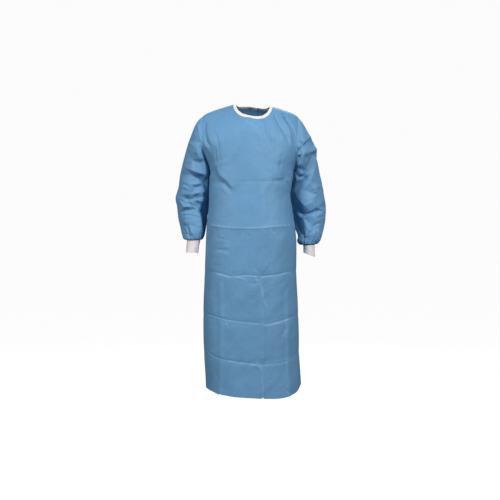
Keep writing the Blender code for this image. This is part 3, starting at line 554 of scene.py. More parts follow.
# The sleeves' folds, with x measured out from the middle of the gown
RIGHT_FRONT_FOLDS = folds(
    FOLD_COLUMNS,
    # along the armhole
    (2.5, 8, 10, SHARP, 0.2, 0.2, 0, (234, -90), (227, -135), (220, -180)),
    (-3.1, 7, 8, SHARP, 0.2, 0.25, 0, (224, -192), (212, -212), (199, -236)),
    (-3.7, 8, 10, SHARP, 0.15, 0.2, 0, (214, -205), (203, -238), (190, -272)),
    (2.5, 7, 8, SHARP, 0.25, 0.25, 0, (222, -205), (210, -235), (200, -262)),
    (-2.1, 7, 7, SHARP, 0.25, 0.25, 0, (249, -190), (238, -212), (233, -222)),
    (-2.1, 7, 7, SHARP, 0.25, 0.25, 0, (233, -222), (245, -232), (256, -246)),
    # the long light ridge and the dark wedge under it
    (-1.6, 5, 6, SHARP, 0.25, 0.35, 0, (309, -352), (286, -358), (262, -374)),
    (1.5, 5, 6, SHARP, 0.25, 0.35, 0, (311, -366), (288, -372), (268, -386)),
    (-1.5, 5, 6, SHARP, 0.25, 0.35, 0, (310, -384), (288, -386), (272, -396)),
    # bunching at the elbow and the forearm
    (-4.5, 11, 10, SHARP, 0.15, 0.15, 0, (306, -424), (260, -424), (216, -412), (188, -404)),
    (-3.1, 7, 10, SHARP, 0.25, 0.2, 0, (326, -424), (298, -442), (272, -452), (250, -452)),
    (-3.4, 8, 8, SHARP, 0.2, 0.2, 0, (316, -486), (288, -478), (256, -472), (230, -476)),
    (3.1, 11, 8, SHARP, 0.2, 0.2, 0, (318, -468), (282, -462), (250, -464)),
    (-3.1, 7, 10, SHARP, 0.2, 0.1, 0, (250, -490), (224, -480), (193, -474)),
    (-2.5, 7, 7, SHARP, 0.25, 0.25, 0, (310, -502), (286, -496), (256, -500), (232, -506)),
    (-2.2, 7, 7, SHARP, 0.25, 0.25, 0, (296, -522), (270, -514), (240, -512), (215, -500)),
    (-2.1, 6, 8, SHARP, 0.15, 0.2, 0, (272, -538), (246, -550), (224, -562)),
    (-2.5, 8, 8, SHARP, 0.2, 0.25, 0, (296, -536), (276, -560), (268, -586)),
)
LEFT_FRONT_FOLDS = folds(
    FOLD_COLUMNS,
    # the short bright fold at the outline
    (-2.5, 7, 11, SHARP, 0.15, 0.3, 0, (298, -214), (280, -226), (256, -238)),
    # the long valley to the inner edge
    (3.7, 10, 8, SHARP, 0.15, 0.2, 0, (236, -216), (230, -266), (230, -326)),
    (-4.3, 8, 8, SHARP, 0.2, 0.15, 0, (216, -226), (208, -270), (200, -318)),
    # the ridge below it
    (-1.9, 8, 8, SHARP, 0.25, 0.3, 0, (316, -370), (286, -388), (264, -396)),
    (1.5, 7, 7, SHARP, 0.25, 0.3, 0, (320, -392), (290, -412), (270, -428)),
    # the curved fold across the forearm
    (-1.9, 5, 5, SHARP, 0.25, 0.3, 0, (338, -484), (308, -486), (286, -500)),
    (-1.6, 5, 5, SHARP, 0.25, 0.3, 0, (340, -502), (312, -506), (294, -518)),
    (-3.1, 8, 11, SHARP, 0.2, 0.2, 0, (320, -530), (296, -538), (278, -552)),
    (-3.1, 8, 8, SHARP, 0.15, 0.15, 0, (212, -560), (232, -580), (248, -602)),
    (-3.1, 8, 8, SHARP, 0.15, 0.15, 0, (286, -566), (266, -580), (250, -604)),
)
SLEEVE_BACK_FOLDS = folds(
    FOLD_COLUMNS,
    (-6, 16, 18, SHARP, 0.15, 0.2, 0, (220, -90), (216, -150), (205, -210)),
    (7.5, 30, 18, SHARP, 0.15, 0.25, 0, (290, -220), (250, -270), (205, -300)),
    (-10, 18, 30, SHARP, 0.15, 0.2, 0, (210, -240), (250, -300), (290, -330)),
    (7, 24, 16, SHARP, 0.15, 0.25, 0, (315, -345), (270, -372), (215, -380)),
    (-8, 16, 18, SHARP, 0.15, 0.15, 0, (200, -412), (250, -404), (300, -414), (330, -436)),
    (6, 18, 18, SHARP, 0.2, 0.2, 0, (200, -436), (260, -430), (320, -450)),
    (-4.3, 10, 11, SHARP, 0.15, 0.2, 0, (205, -470), (250, -458), (300, -476)),
    (-3.1, 8, 10, SHARP, 0.2, 0.2, 0, (320, -500), (280, -506), (235, -496)),
    (5, 18, 14, SHARP, 0.2, 0.2, 0, (220, -520), (250, -550), (290, -560)),
    (-3.1, 8, 10, SHARP, 0.2, 0.2, 0, (310, -540), (285, -560), (270, -590)),
)

# The corners of the large flat facets on the sleeves' fronts, in millimetres
FACET_COLUMNS = ("out", "z", "height")


def facet_corners(columns, *rows):
    """A table of corners, in metres."""
    return [{name: value / 1000 for name, value in zip(columns, row)} for row in rows]


RIGHT_FACETS = facet_corners(
    FACET_COLUMNS,
    # calm cloth from the shoulder down, drawn in along the armhole
    (400, -20, 0), (160, -20, 0), (340, -150, 0), (292, -150, 0), (262, -120, 1), (232, -125, -1),
    (225, -175, -3), (243, -200, 2), (208, -215, -4), (276, -205, 0), (220, -245, 2), (195, -250, -4),
    (262, -252, -2), (222, -266, -3), (350, -260, 0),
    # the long ridge above the elbow and the wedge under it
    (292, -284, 0), (249, -298, 9), (201, -313, 6), (188, -316, 2), (262, -310, 0), (232, -335, -5),
    (205, -355, -8), (309, -310, -2), (323, -360, -2), (303, -347, 2), (262, -360, 6), (225, -355, 3),
    (244, -372, -1), (218, -365, -5), (201, -364, -6),
    # bunched cloth at the elbow
    (309, -404, 1), (259, -404, 5), (218, -394, 6), (191, -387, 4), (320, -414, 0), (282, -416, -2),
    (249, -414, -2), (212, -402, -1), (259, -428, 4), (218, -416, 5), (188, -411, 2), (323, -426, 0),
    (279, -437, -2), (215, -433, 5), (218, -450, -3), (188, -439, -8), (292, -458, 4), (259, -453, 2),
    (299, -470, -1), (259, -462, -2), (232, -465, -1), (350, -440, 0),
    # the forearm's long edge, dark towards the body
    (242, -472, 3), (228, -509, 8), (222, -539, 7), (212, -573, 3), (198, -495, -12), (195, -529, -12),
    (201, -569, -8), (276, -529, 2), (259, -576, 4), (282, -563, 0), (309, -522, -2), (299, -563, -3),
    (249, -603, 0), (215, -603, 0), (400, -640, 0), (160, -640, 0),
)
LEFT_FACETS = facet_corners(
    FACET_COLUMNS,
    # two ridges that run in from the outline, below the shoulder
    (400, -20, 0), (160, -20, 0), (345, -150, 0), (242, -100, 1), (275, -132, 0), (214, -130, -3),
    (208, -165, -4), (266, -151, 4), (238, -174, 6), (211, -200, 3), (262, -166, -1), (235, -190, -1),
    (215, -212, -3), (285, -180, -1), (296, -200, 6), (252, -220, 5), (289, -225, -1),
    # long narrow facets above the elbow
    (288, -250, 5), (287, -272, 6), (276, -310, 6), (270, -255, -3), (262, -276, -4), (250, -305, -4),
    (242, -326, -5), (230, -225, 3), (230, -270, 4), (232, -310, 4), (218, -240, -3), (216, -290, -4),
    (215, -326, -3), (208, -235, 1), (206, -280, 2), (201, -313, -6), (210, -340, 4),
    # the valley to the inner edge, and the broad facet below it
    (249, -340, -7), (222, -360, -8), (188, -387, -8), (262, -350, 4), (230, -380, 3), (205, -400, 2),
    (316, -360, 4), (289, -390, 6), (269, -418, 5), (330, -430, 2), (269, -444, 7), (276, -398, 1),
    (302, -406, 2), (360, -300, 0),
    # its lower edge, the dark facet under that and the curved fold
    (222, -424, 8), (245, -452, 9), (269, -478, 4), (198, -450, -10), (222, -475, -6), (195, -472, -8),
    (222, -490, -4), (238, -495, -5), (272, -485, -4), (299, -475, -4), (336, -458, -2), (296, -460, 4),
    (238, -506, 4), (276, -499, 5), (306, -490, 4), (330, -478, 3),
    # the forearm
    (222, -500, 1), (262, -559, 7), (252, -590, 3), (222, -563, -4), (198, -520, -8), (300, -530, 4),
    (282, -549, -1), (330, -542, 0), (310, -570, 2), (282, -575, 4), (249, -603, -3), (269, -586, 2),
    (296, -596, 1), (225, -595, 2), (360, -460, 0), (400, -660, 0), (160, -660, 0),
)
FACET_DEPTH = 2.0

# Small crumples, scattered evenly: how many, where, and the size and direction they have
BODY_CRUMPLES = dict(
    count=190, x_ends=(-0.205, 0.215), z_ends=(-1.280, -0.080),
    length=0.055, reach=0.009, relief=0.0011, turn=1.25, spread=0.8,
)
SLEEVE_CRUMPLES = dict(
    count=34, x_ends=(0.190, 0.335), z_ends=(-0.600, -0.120),
    length=0.060, reach=0.008, relief=0.0014, turn=0.1, spread=0.6,
)

# Facets of the crisp cloth: how many go round a sleeve and how many rings each spans
FACET_TABLE = 64
FRONT_FACETS = 0.12
SLEEVE_FACETS = (
    ("seed", "around", "rings_each", "slant", "relief"),
    (11, 6, 1.60, 0.8, 0.0080),
    (23, 10, 1.00, -0.6, 0.0045),
    (37, 22, 0.45, 0.5, 0.0006),
)
BODY_FACETS = (
    ("each", "slant", "relief"),
    (0.070, 0.5, 0.0018),
    (0.032, -0.4, 0.0008),
    (0.014, 0.3, 0.00045),
)

# Gathers round the sleeve's end: relief ring by ring, and waves of uneven width
GATHERS = (("size", "count", "start"), (1.0, 19, 0.0), (0.7, 12, 1.3), (0.5, 7, 2.1))
GATHER_RELIEF = table(
    ("ring", "relief"), (11, 0.0), (13, 0.0006), (14.5, 0.0014), (15.6, 0.0016), (16, 0.0013), (17, 0.0)
)


def smooth_line(path, each=5):
    """Points along a smooth line through a path."""
    points = np.array(path, float)
    if len(points) == 2:
        return points
    before = np.vstack([2 * points[0] - points[1], points, 2 * points[-1] - points[-2]])
    found = []
    for a, b, c, d in zip(before, before[1:], before[2:], before[3:]):
        for t in np.arange(each) / each:
            bend = (2 * a - 5 * b + 4 * c - d) * t**2 + (3 * b - a - 3 * c + d) * t**3
            found.append(0.5 * (2 * b + (c - a) * t + bend))
    return np.array(found + [points[-1]])


def along_line(line, x, z):
    """How far points are from a line, on which side of it, and how far along it they are."""
    runs = np.diff(line, axis=0)
    lengths = np.hypot(runs[:, 0], runs[:, 1])
    before = np.concatenate([[0], np.cumsum(lengths)])
    away = np.full(x.shape, np.inf)
    side, share = np.zeros(x.shape), np.zeros(x.shape)
    for start, run, length, passed in zip(line, runs, lengths, before):
        dx, dz = x - start[0], z - start[1]
        t = np.clip((dx * run[0] + dz * run[1]) / length**2, 0, 1)
        here = np.hypot(dx - t * run[0], dz - t * run[1])
        closer = here < away
        away = np.where(closer, here, away)
        side = np.where(closer, run[0] * dz - run[1] * dx, side)
        share = np.where(closer, (passed + t * length) / before[-1], share)
    return away, side, share


def fold_relief(rows, x, z):
    """Height and painted crease highlight of a set of folds at points seen from their piece's own side."""
    height, white = np.zeros(x.shape), np.zeros(x.shape)
    for relief, left, right, sharp, fade_in, fade_out, highlight_strength, path in rows:
        line = smooth_line(path)
        low, high = line.min(axis=0) - max(left, right), line.max(axis=0) + max(left, right)
        near = (x > low[0]) & (x < high[0]) & (z > low[1]) & (z < high[1])
        if not near.any():
            continue
        away, side, share = along_line(line, x[near], z[near])
        across = np.clip(away / np.where(side > 0, left, right), 0, 1)
        shape = 1 - across if sharp else (1 - across**2) ** 2
        fade = ease(share / max(fade_in, 1e-6)) * ease((1 - share) / max(fade_out, 1e-6))
        height[near] += relief * shape * fade
        # painted highlight: a pale line along each crease, uneven along it, standing in for light on the
        # crease's flank
        patchy = 0.62 + 0.38 * np.sin(share * 11 + 60 * path[0][0]) * np.cos(share * 5 + 40 * path[0][1])
        painted_highlight = highlight_strength * patchy * fade * ease(1 - away / HIGHLIGHT_REACH)
        white[near] = np.maximum(white[near], painted_highlight)
    return height, white


def crumples(seed, count, x_ends, z_ends, length, reach, relief, turn, spread):
    """A scatter of short, shallow folds, as rows of a fold table."""
    chance = np.random.default_rng(seed)
    rows = []
    for _ in range(count):
        middle = np.array([chance.uniform(*x_ends), chance.uniform(*z_ends)])
        angle = turn + chance.normal(0, spread)
        half = length * chance.uniform(0.35, 0.75) * np.array([math.cos(angle), math.sin(angle)])
        bend = chance.normal(0, 0.15) * np.array([-half[1], half[0]])
        height = relief * chance.uniform(0.4, 1.0) * chance.choice((-1, 1))
        left, right = reach * chance.uniform(0.6, 1.4, 2)
        path = (tuple(middle - half), tuple(middle + bend), tuple(middle + half))
        rows.append((height, left, right, SHARP, 0.35, 0.35, 0.0, path))
    return rows


def facets(seed, u, v, around=None):
    """Flat facets with crisp edges, as in crumpled paper: heights from -1 to 1."""
    chance = np.random.default_rng(seed)
    columns = around or FACET_TABLE
    heights = chance.uniform(-1, 1, (columns, FACET_TABLE))
    i, j = np.floor(u).astype(int), np.floor(v).astype(int)
    f, g = u - i, v - j

    def corner(right, up):
        return heights[(i + right) % columns, (j + up) % FACET_TABLE]

    near_u = corner(0, 0) + f * (corner(1, 0) - corner(0, 0)) + g * (corner(1, 1) - corner(1, 0))
    near_v = corner(0, 0) + g * (corner(0, 1) - corner(0, 0)) + f * (corner(1, 1) - corner(0, 1))
    return np.where(f > g, near_u, near_v)


def joined_facets(corners, x, z):
    """Heights over the flat triangles that join the corners."""
    spots = [Vector((corner["out"], corner["z"])) for corner in corners]
    _, _, triangles, sources, *_ = delaunay_2d_cdt(spots, [], [], 0, 1e-6)
    total = np.zeros(x.shape)
    for triangle in triangles:
        (xa, za, a), (xb, zb, b), (xc, zc, c) = (corners[sources[k][0]].values() for k in triangle)
        area = (xb - xa) * (zc - za) - (xc - xa) * (zb - za)
        share_b = ((x - xa) * (zc - za) - (xc - xa) * (z - za)) / area
        share_c = ((xb - xa) * (z - za) - (x - xa) * (zb - za)) / area
        inside = (share_b >= 0) & (share_c >= 0) & (share_b + share_c <= 1)
        total = np.where(inside, a + share_b * (b - a) + share_c * (c - a), total)
    return total


def sleeve_facets(turn, ring, hand):
    """Large and small facets round a sleeve, drawn slantwise."""
    total = np.zeros((len(ring), len(turn)))
    for seed, around, each, slant, relief in SLEEVE_FACETS[1:]:
        v = ring[:, None] / each + 0 * turn[None, :]
        u = turn[None, :] / (2 * math.pi) * around + slant * v + 0.25 * np.sin(2.1 * v + seed + hand)
        v = v + 0.30 * np.sin(2 * turn[None, :] + seed)
        total += relief * facets(seed + hand, u, v, around)
    return total


def body_facets(x, z, seed):
    """Slight unevenness of the body's cloth."""
    total = np.zeros(x.shape)
    for each, slant, relief in BODY_FACETS[1:]:
        u = x / each + slant * z / each + 0.3 * np.sin(z * 14 + seed)
        v = z / (1.5 * each) + 0.3 * np.sin(x * 17 + seed)
        total += relief * facets(seed + int(each * 1000), u, v)
    return total


def trough_relief(x, z):
    """The wide troughs and ridges that run round the gown at the packing creases."""
    total = np.zeros(np.shape(x))
    for height, side_rise, relief, reach in TROUGHS[1:]:
        away = np.abs(z - height - side_rise * (x / SIDE_REACH) ** 2)
        total += relief * ease(1 - away / reach)
    return total


def lap_lift(x, z):
    """How far the outer back panel stands off, where it lies on the inner one."""
    start = read(LAP, "inner", z) + LIFT_RUN + LIFT_MARGIN
    return LAP_LIFT * ease((start - x) / LIFT_RUN)


def neck_columns(start, end, side, steps):
    """Where columns start on the neck edge, evenly along it between two of its angles."""
    turn = np.linspace(start, end, NECK_SAMPLES)
    x = NECK_MIDDLE - NECK_HALF * np.cos(turn)
    z = neck_height(x, side)
    y = body_depth(x, z, side)
    steps_long = np.linalg.norm(np.diff(np.stack([x, y, z]), axis=1), axis=0)
    along = np.concatenate([[0], np.cumsum(steps_long)])
    even = np.interp(np.linspace(0, along[-1], steps + 1), along, turn)
    return NECK_MIDDLE - NECK_HALF * np.cos(even)


def columns_of(side, hand=None):
    """The panel's columns: share of the way round, and where each starts at the top."""
    if side == FRONT:
        neck_x = neck_columns(0, math.pi, side, NECK_STEPS)
        right_x = np.linspace(-SHOULDER_END, neck_x[0], SHOULDER_STEPS + 1)
        left_x = np.linspace(neck_x[-1], SHOULDER_END, SHOULDER_STEPS + 1)
        top_x = np.concatenate([right_x, neck_x[1:-1], left_x])
        return np.linspace(-1, 1, len(top_x)), top_x
    free = -read(LAP, "outer", 0.0) if hand == LEFT else read(LAP, "inner", 0.0)
    start = math.acos((NECK_MIDDLE - free) / NECK_HALF)
    neck_x = neck_columns(start, math.pi if hand == LEFT else 0, side, BACK_NECK_STEPS)
    shoulder_x = np.linspace(neck_x[-1], hand * SHOULDER_END, SHOULDER_STEPS + 1)
    top_x = np.concatenate([neck_x, shoulder_x[1:]])
    return np.linspace(0, 1, len(top_x)), top_x


def column_x(share, z, side, hand=None):
    """Where a column lies at height z, away from the shoulders."""
    if side == FRONT:
        turn_hand = np.where(share < 0, RIGHT, LEFT)
        edges = np.where(share < 0, panel_edge(z, RIGHT), panel_edge(z, LEFT))
        return at_angle(turn_hand * share * edge_angle(edges, z, side), z, side)
    free = -read(LAP, "outer", z) if hand == LEFT else read(LAP, "inner", z)
    start, end = edge_angle(free, z, side), edge_angle(panel_edge(z, hand), z, side)
    return at_angle(start + share * (end - start), z, side)


def on_shoulder(x):
    """Which of a panel's top points lie on the shoulder seam, neck ends included."""
    return np.abs(x - NECK_MIDDLE) > NECK_HALF - TOUCHING


def panel_points(side, hand=None):
    """The base points of a body panel, as rows of columns from shoulder to hem."""
    share, top_x = columns_of(side, hand)
    top_z = np.where(on_shoulder(top_x), ridge(top_x), neck_height(top_x, side))
    shift = top_x - column_x(share, top_z, side, hand)
    steps = np.arange(ARMHOLE_STEPS + 1) / ARMHOLE_STEPS
    guide = column_x(share, np.full(len(share), np.mean(list(ARMPIT.values()))), side, hand)
    armpit = levels(guide, side)[0]
    rows = []
    for step in steps:
        z = top_z - (top_z - armpit) * (1 - math.cos(math.pi * step)) / 2
        x = column_x(share, z, side, hand) + shift * (1 - step) ** FAN_POWER
        rows.append((x, z))
    for k, count in enumerate(LEVEL_STEPS):
        for step in np.arange(1, count + 1) / count:
            crowded = step - CROWDING * math.sin(2 * math.pi * step) / (2 * math.pi)
            near = column_x(share, rows[-1][1], side, hand)
            here = levels(near, side)
            z = here[k] + (here[k + 1] - here[k]) * crowded
            rows.append((column_x(share, z, side, hand), z))
    x = np.array([row[0] for row in rows])
    z = np.array([row[1] for row in rows])
    return np.stack([x, side * body_depth(x, z, side), z], axis=-1)


def body_surface(x, z, side):
    """Point and outward direction of the body's base cloth."""
    point = np.stack([x, side * body_depth(x, z, side), z], axis=-1)
    slope_x = rise(lambda across: body_depth(across, z, side), x)
    slope_z = rise(lambda up: body_depth(x, up, side), z)
    return point, unit(np.stack([-slope_x, np.full(np.shape(x), float(side)), -slope_z], axis=-1))


def seam_directions(points, hand):
    """Outward directions along the side seam, which front and back share."""
    z = points[..., 2]
    lean = rise(lambda height: side_line(height, hand), z)
    return unit(hand * np.stack([1 + 0 * z, 0 * z, -lean], axis=-1))


def panel_normals(points, side, hand=None):
    """Outward directions, shared along shoulder and side seams with the next piece."""
    down, across = np.gradient(points, axis=0), np.gradient(points, axis=1)
    normals = unit(np.cross(down, across))
    if normals[..., 1].mean() * side < 0:
        normals = -normals
    shoulders = on_shoulder(points[0, :, 0])
    x = points[0, shoulders, 0]
    slope = rise(ridge, x)
    normals[0, shoulders] = unit(np.stack([-slope, 0 * x, 1 + 0 * x], axis=-1))
    neck = points[:NECK_ROWS, ~shoulders]
    normals[:NECK_ROWS, ~shoulders] = body_surface(neck[..., 0], neck[..., 2], side)[1]
    for edge_hand, column in {hand: -1}.items() if hand else ((RIGHT, 0), (LEFT, -1)):
        edge = points[ARMHOLE_STEPS:, column][:, None]
        away = np.linalg.norm(points[ARMHOLE_STEPS:] - edge, axis=-1)
        weight = ease(1 - away / SEAM_BLEND)[..., None]
        own = normals[ARMHOLE_STEPS:]
        seam = seam_directions(edge, edge_hand)
        normals[ARMHOLE_STEPS:] = unit(own * (1 - weight) + seam * weight)
    return normals


def from_neck(points):
    """How far a panel's points are from its neck edge."""
    away = np.full(points.shape[:2], np.inf)
    for spot in points[0, np.abs(points[0, :, 0] - NECK_MIDDLE) < NECK_HALF + TOUCHING]:
        away = np.minimum(away, np.linalg.norm(points - spot, axis=-1))
    return away


def panel_relief(points, side, hand=None):
    """Folds that die out towards the side seams, troughs all round, and the lap's lift."""
    x, z = points[..., 0], points[..., 2]
    seed = 7 + side + (hand or 0) * 3
    own = (FRONT_FOLDS if side == FRONT else BACK_FOLDS) + crumples(seed, **BODY_CRUMPLES)
    height, white = fold_relief(own, x, z)
    seams = np.ones(x.shape)
    below = np.clip((z - np.mean(list(ARMPIT.values()))) / 0.03 + 1, 0, 1)
    for edge_hand in (RIGHT, LEFT):
        to_seam = np.abs(x - side_line(z, edge_hand))
        seams = np.minimum(seams, np.maximum(ease(to_seam / 0.030), ease(below)))
    seams = seams * ease((ridge(x) - z) / 0.018) * ease((from_neck(points) - 0.006) / 0.014)
    uneven = body_facets(x, z, 3 + side + 2 * (hand or 0))
    relief = (BODY_DEPTH * height + uneven) * seams + trough_relief(x, z)
    if hand == LEFT:
        relief = relief + lap_lift(x, z)
    # the second value is the painted crease highlight, faded out at the seams as the folds are
    return relief, white * seams


def seam_shift(points, side):
    """Half a seam gap at the shoulder and side seams."""
    shift = np.zeros(points.shape)
    shift[0, on_shoulder(points[0, :, 0]), 1] = side * SEAM_GAP / 2
    for column in [0, -1] if side == FRONT else [-1]:
        shift[ARMHOLE_STEPS:, column, 1] = side * SEAM_GAP / 2
    return shift


def shell_faces(rows, columns, around):
    """The faces of a closed shell: outside, inside and rims. The first ones wrap where told."""
    count = rows * columns
    across = columns if around else columns - 1
    row, column = np.meshgrid(np.arange(rows - 1), np.arange(across), indexing="ij")
    here, beside = row * columns + column, row * columns + (column + 1) % columns
    quads = np.stack([here, beside, beside + columns, here + columns], axis=-1).reshape(-1, 4)
    top, left = np.arange(columns), np.arange(rows) * columns
    edges = [rim(top, around), rim(top + (rows - 1) * columns, around)[:, ::-1]]
    if not around:
        edges += [rim(left, False)[:, ::-1], rim(left + columns - 1, False)]
    rims = np.concatenate(edges)
    rim_quads = np.stack([rims[:, 1], rims[:, 0], rims[:, 0] + count, rims[:, 1] + count], axis=-1)
    faces = np.concatenate([quads, quads[:, ::-1] + count, rim_quads])
    wraps = np.zeros(len(faces), bool)
    wraps[: 2 * len(quads)] = np.tile((column == columns - 1).reshape(-1), 2)
    return faces, wraps


def cloth_measures(mesh, outer, around, wraps):
    """Lays UVs in metres: along each row from its middle, and down each column."""
    rows, columns = outer.shape[:2]
    closed = np.concatenate([outer, outer[:, :1]], axis=1) if around else outer
    steps_down = np.linalg.norm(np.diff(outer, axis=0), axis=-1)
    steps_along = np.linalg.norm(np.diff(closed, axis=1), axis=-1)
    down = np.concatenate([np.zeros((1, columns)), steps_down.cumsum(0)])
    along = np.concatenate([np.zeros((rows, 1)), steps_along.cumsum(1)], axis=1)
    along = along - along.mean(axis=1, keepdims=True)
    corner_vertex = np.zeros(len(mesh.loops), int)
    mesh.loops.foreach_get("vertex_index", corner_vertex)
    place = corner_vertex % (rows * columns)
    u = along[place // columns, place % columns]
    if around:
        wrapped = np.repeat(wraps, 4) & (place % columns == 0)
        u = np.where(wrapped, along[place // columns, columns], u)
    v = down[place // columns, place % columns]
    layer = mesh.uv_layers.new(name="cloth")
    layer.data.foreach_set("uv", np.stack([u, -v], axis=-1).astype(np.float32).ravel())


def placed(name, mesh, finish):
    """An object of the gown from its mesh."""
    mesh.materials.append(finish)
    piece = bpy.data.objects.new(name, mesh)
    bpy.context.scene.collection.objects.link(piece)
    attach(piece, "root")
    return piece


def shell(name, outer, inner, finish, around=False, white=None):
    """A closed shell of cloth from two grids of points. It replaces the solid of its name."""
    rows, columns = outer.shape[:2]
    points = np.concatenate([outer.reshape(-1, 3), inner.reshape(-1, 3)])
    faces, wraps = shell_faces(rows, columns, around)
    mesh = bpy.data.meshes.new(name)
    mesh.from_pydata(points.tolist(), [], faces.tolist())
    cloth_measures(mesh, outer, around, wraps)
    # white holds the painted crease highlight, one value a point, for the cloth's material
    highlight_attribute = mesh.attributes.new("white", "FLOAT", "POINT")
    highlight_values = np.zeros(len(points)) if white is None else np.tile(white.reshape(-1), 2)
    highlight_attribute.data.foreach_set("value", highlight_values.astype(np.float32))
    face_outward(mesh, outer, inner)
    mesh.shade_smooth()
    mesh.set_sharp_from_angle(angle=math.radians(60))
    piece = placed(name, mesh, finish)
    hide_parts(name)
    return piece


def rim(line, around):
    """Pairs of neighbouring points along an edge."""
    ends = np.roll(line, -1) if around else line[1:]
    return np.stack([line[: len(ends)], ends], axis=-1)


def face_outward(mesh, outer, inner):
    """Turns the mesh's faces so that they look away from its inner side."""
    face = mesh.polygons[len(mesh.polygons) // 5]
    first = face.vertices[0] % (outer.shape[0] * outer.shape[1])
    thickness = outer.reshape(-1, 3)[first] - inner.reshape(-1, 3)[first]
    if np.dot(np.array(face.normal), thickness) < 0:
        mesh.flip_normals()


def body_panel(name, side, hand, finish):
    """Makes a body panel and returns its shaped points and outward directions."""
    points = panel_points(side, hand)
    normals = panel_normals(points, side, hand)
    relief, white = panel_relief(points, side, hand)
    shaped = points + normals * relief[..., None]
    moved = shaped + seam_shift(points, side)
    fine = surface_normals(shaped, normals)
    piece = shell(name, moved, moved - fine * CLOTH, finish, white=white)
    return piece, shaped, normals


def surface_normals(points, guide, around=False):
    """Outward directions of shaped cloth, kept to the guide's at the edges."""
    down, across = np.gradient(points, axis=0), np.gradient(points, axis=1)
    if around:
        across = np.roll(points, -1, axis=1) - np.roll(points, 1, axis=1)
    normals = unit(np.cross(down, across))
    normals = normals * np.sign((normals * guide).sum(axis=-1).mean())
    normals[0], normals[-1] = guide[0], guide[-1]
    if not around:
        normals[:, 0], normals[:, -1] = guide[:, 0], guide[:, -1]
    return unit(normals + 0.25 * guide)


def armhole_ring(front, back, hand):
    """Points and directions round an armhole: shoulder, front, armpit, back."""
    front_column = -1 if hand == LEFT else 0
    return tuple(
        np.concatenate([ahead[: ARMHOLE_STEPS + 1, front_column], behind[1:ARMHOLE_STEPS, -1][::-1]])
        for ahead, behind in zip(front, back)
    )


def away_from_panel(points, normals, hand):
    """The direction in the cloth that leads from the armhole into the sleeve."""
    along = np.roll(points, -1, axis=0) - np.roll(points, 1, axis=0)
    return hand * unit(np.cross(normals, unit(along)))


def ring_points(row, hand, turn):
    """A sleeve ring: an ellipse between its outer and inner line."""
    outer = np.array([hand * row["out"], row["out_y"], row["out_z"]])
    inner = np.array([hand * row["in"], row["in_y"], row["in_z"]])
    sine = np.sin(turn)
    reach = np.where(sine >= 0, -row["front"] * sine, -row["back"] * sine)
    points = (outer + inner) / 2 + np.cos(turn)[:, None] * (outer - inner) / 2
    points[:, 1] += reach
    return points


def sleeve_relief(points, ring, hand, turn):
    """Folds on the front and back, small crumples, and the gathers above the cuff."""
    x, z = hand * points[..., 0], points[..., 2]
    ahead = np.clip(np.sin(turn) / SIDE_FADE, -1, 1)
    own, corners = (RIGHT_FRONT_FOLDS, RIGHT_FACETS) if hand == RIGHT else (LEFT_FRONT_FOLDS, LEFT_FACETS)
    own = own + crumples(31 + hand, **SLEEVE_CRUMPLES)
    behind = SLEEVE_BACK_FOLDS + crumples(51 + hand, **SLEEVE_CRUMPLES)
    front_height = SLEEVE_DEPTH * fold_relief(own, x, z)[0] + FACET_DEPTH * joined_facets(corners, x, z)
    back_height = SLEEVE_DEPTH * fold_relief(behind, x, z)[0]
    relief = front_height * np.clip(ahead, 0, 1) + back_height * np.clip(-ahead, 0, 1)
    settle = ease((ring - 1.0) / 2.5) * ease((LAST_RING - 0.5 - ring) / 2.0)
    # cloth that rests against the body keeps to its line there
    resting = np.clip(-np.cos(turn), 0, 1)[None, :] ** 2 * ease((UNDERARM_END - ring) / 3)[:, None]
    own_share = FRONT_FACETS + (1 - FRONT_FACETS) * np.clip(-ahead, 0, 1)
    relief = relief + settle[:, None] * own_share[None, :] * sleeve_facets(turn, ring, hand)
    relief = relief * (1 - 0.8 * resting)
    waves = sum(size * np.cos(count * turn + start + 0.8 * hand) for size, count, start in GATHERS[1:])
    waves = waves * (0.6 + 0.4 * np.sin(2 * turn + 1.1 * hand) * np.cos(5 * turn))
    fade = ease(ring / 1.5)[:, None]
    return relief * fade + read(GATHER_RELIEF, "relief", ring)[:, None] * waves[None, :]


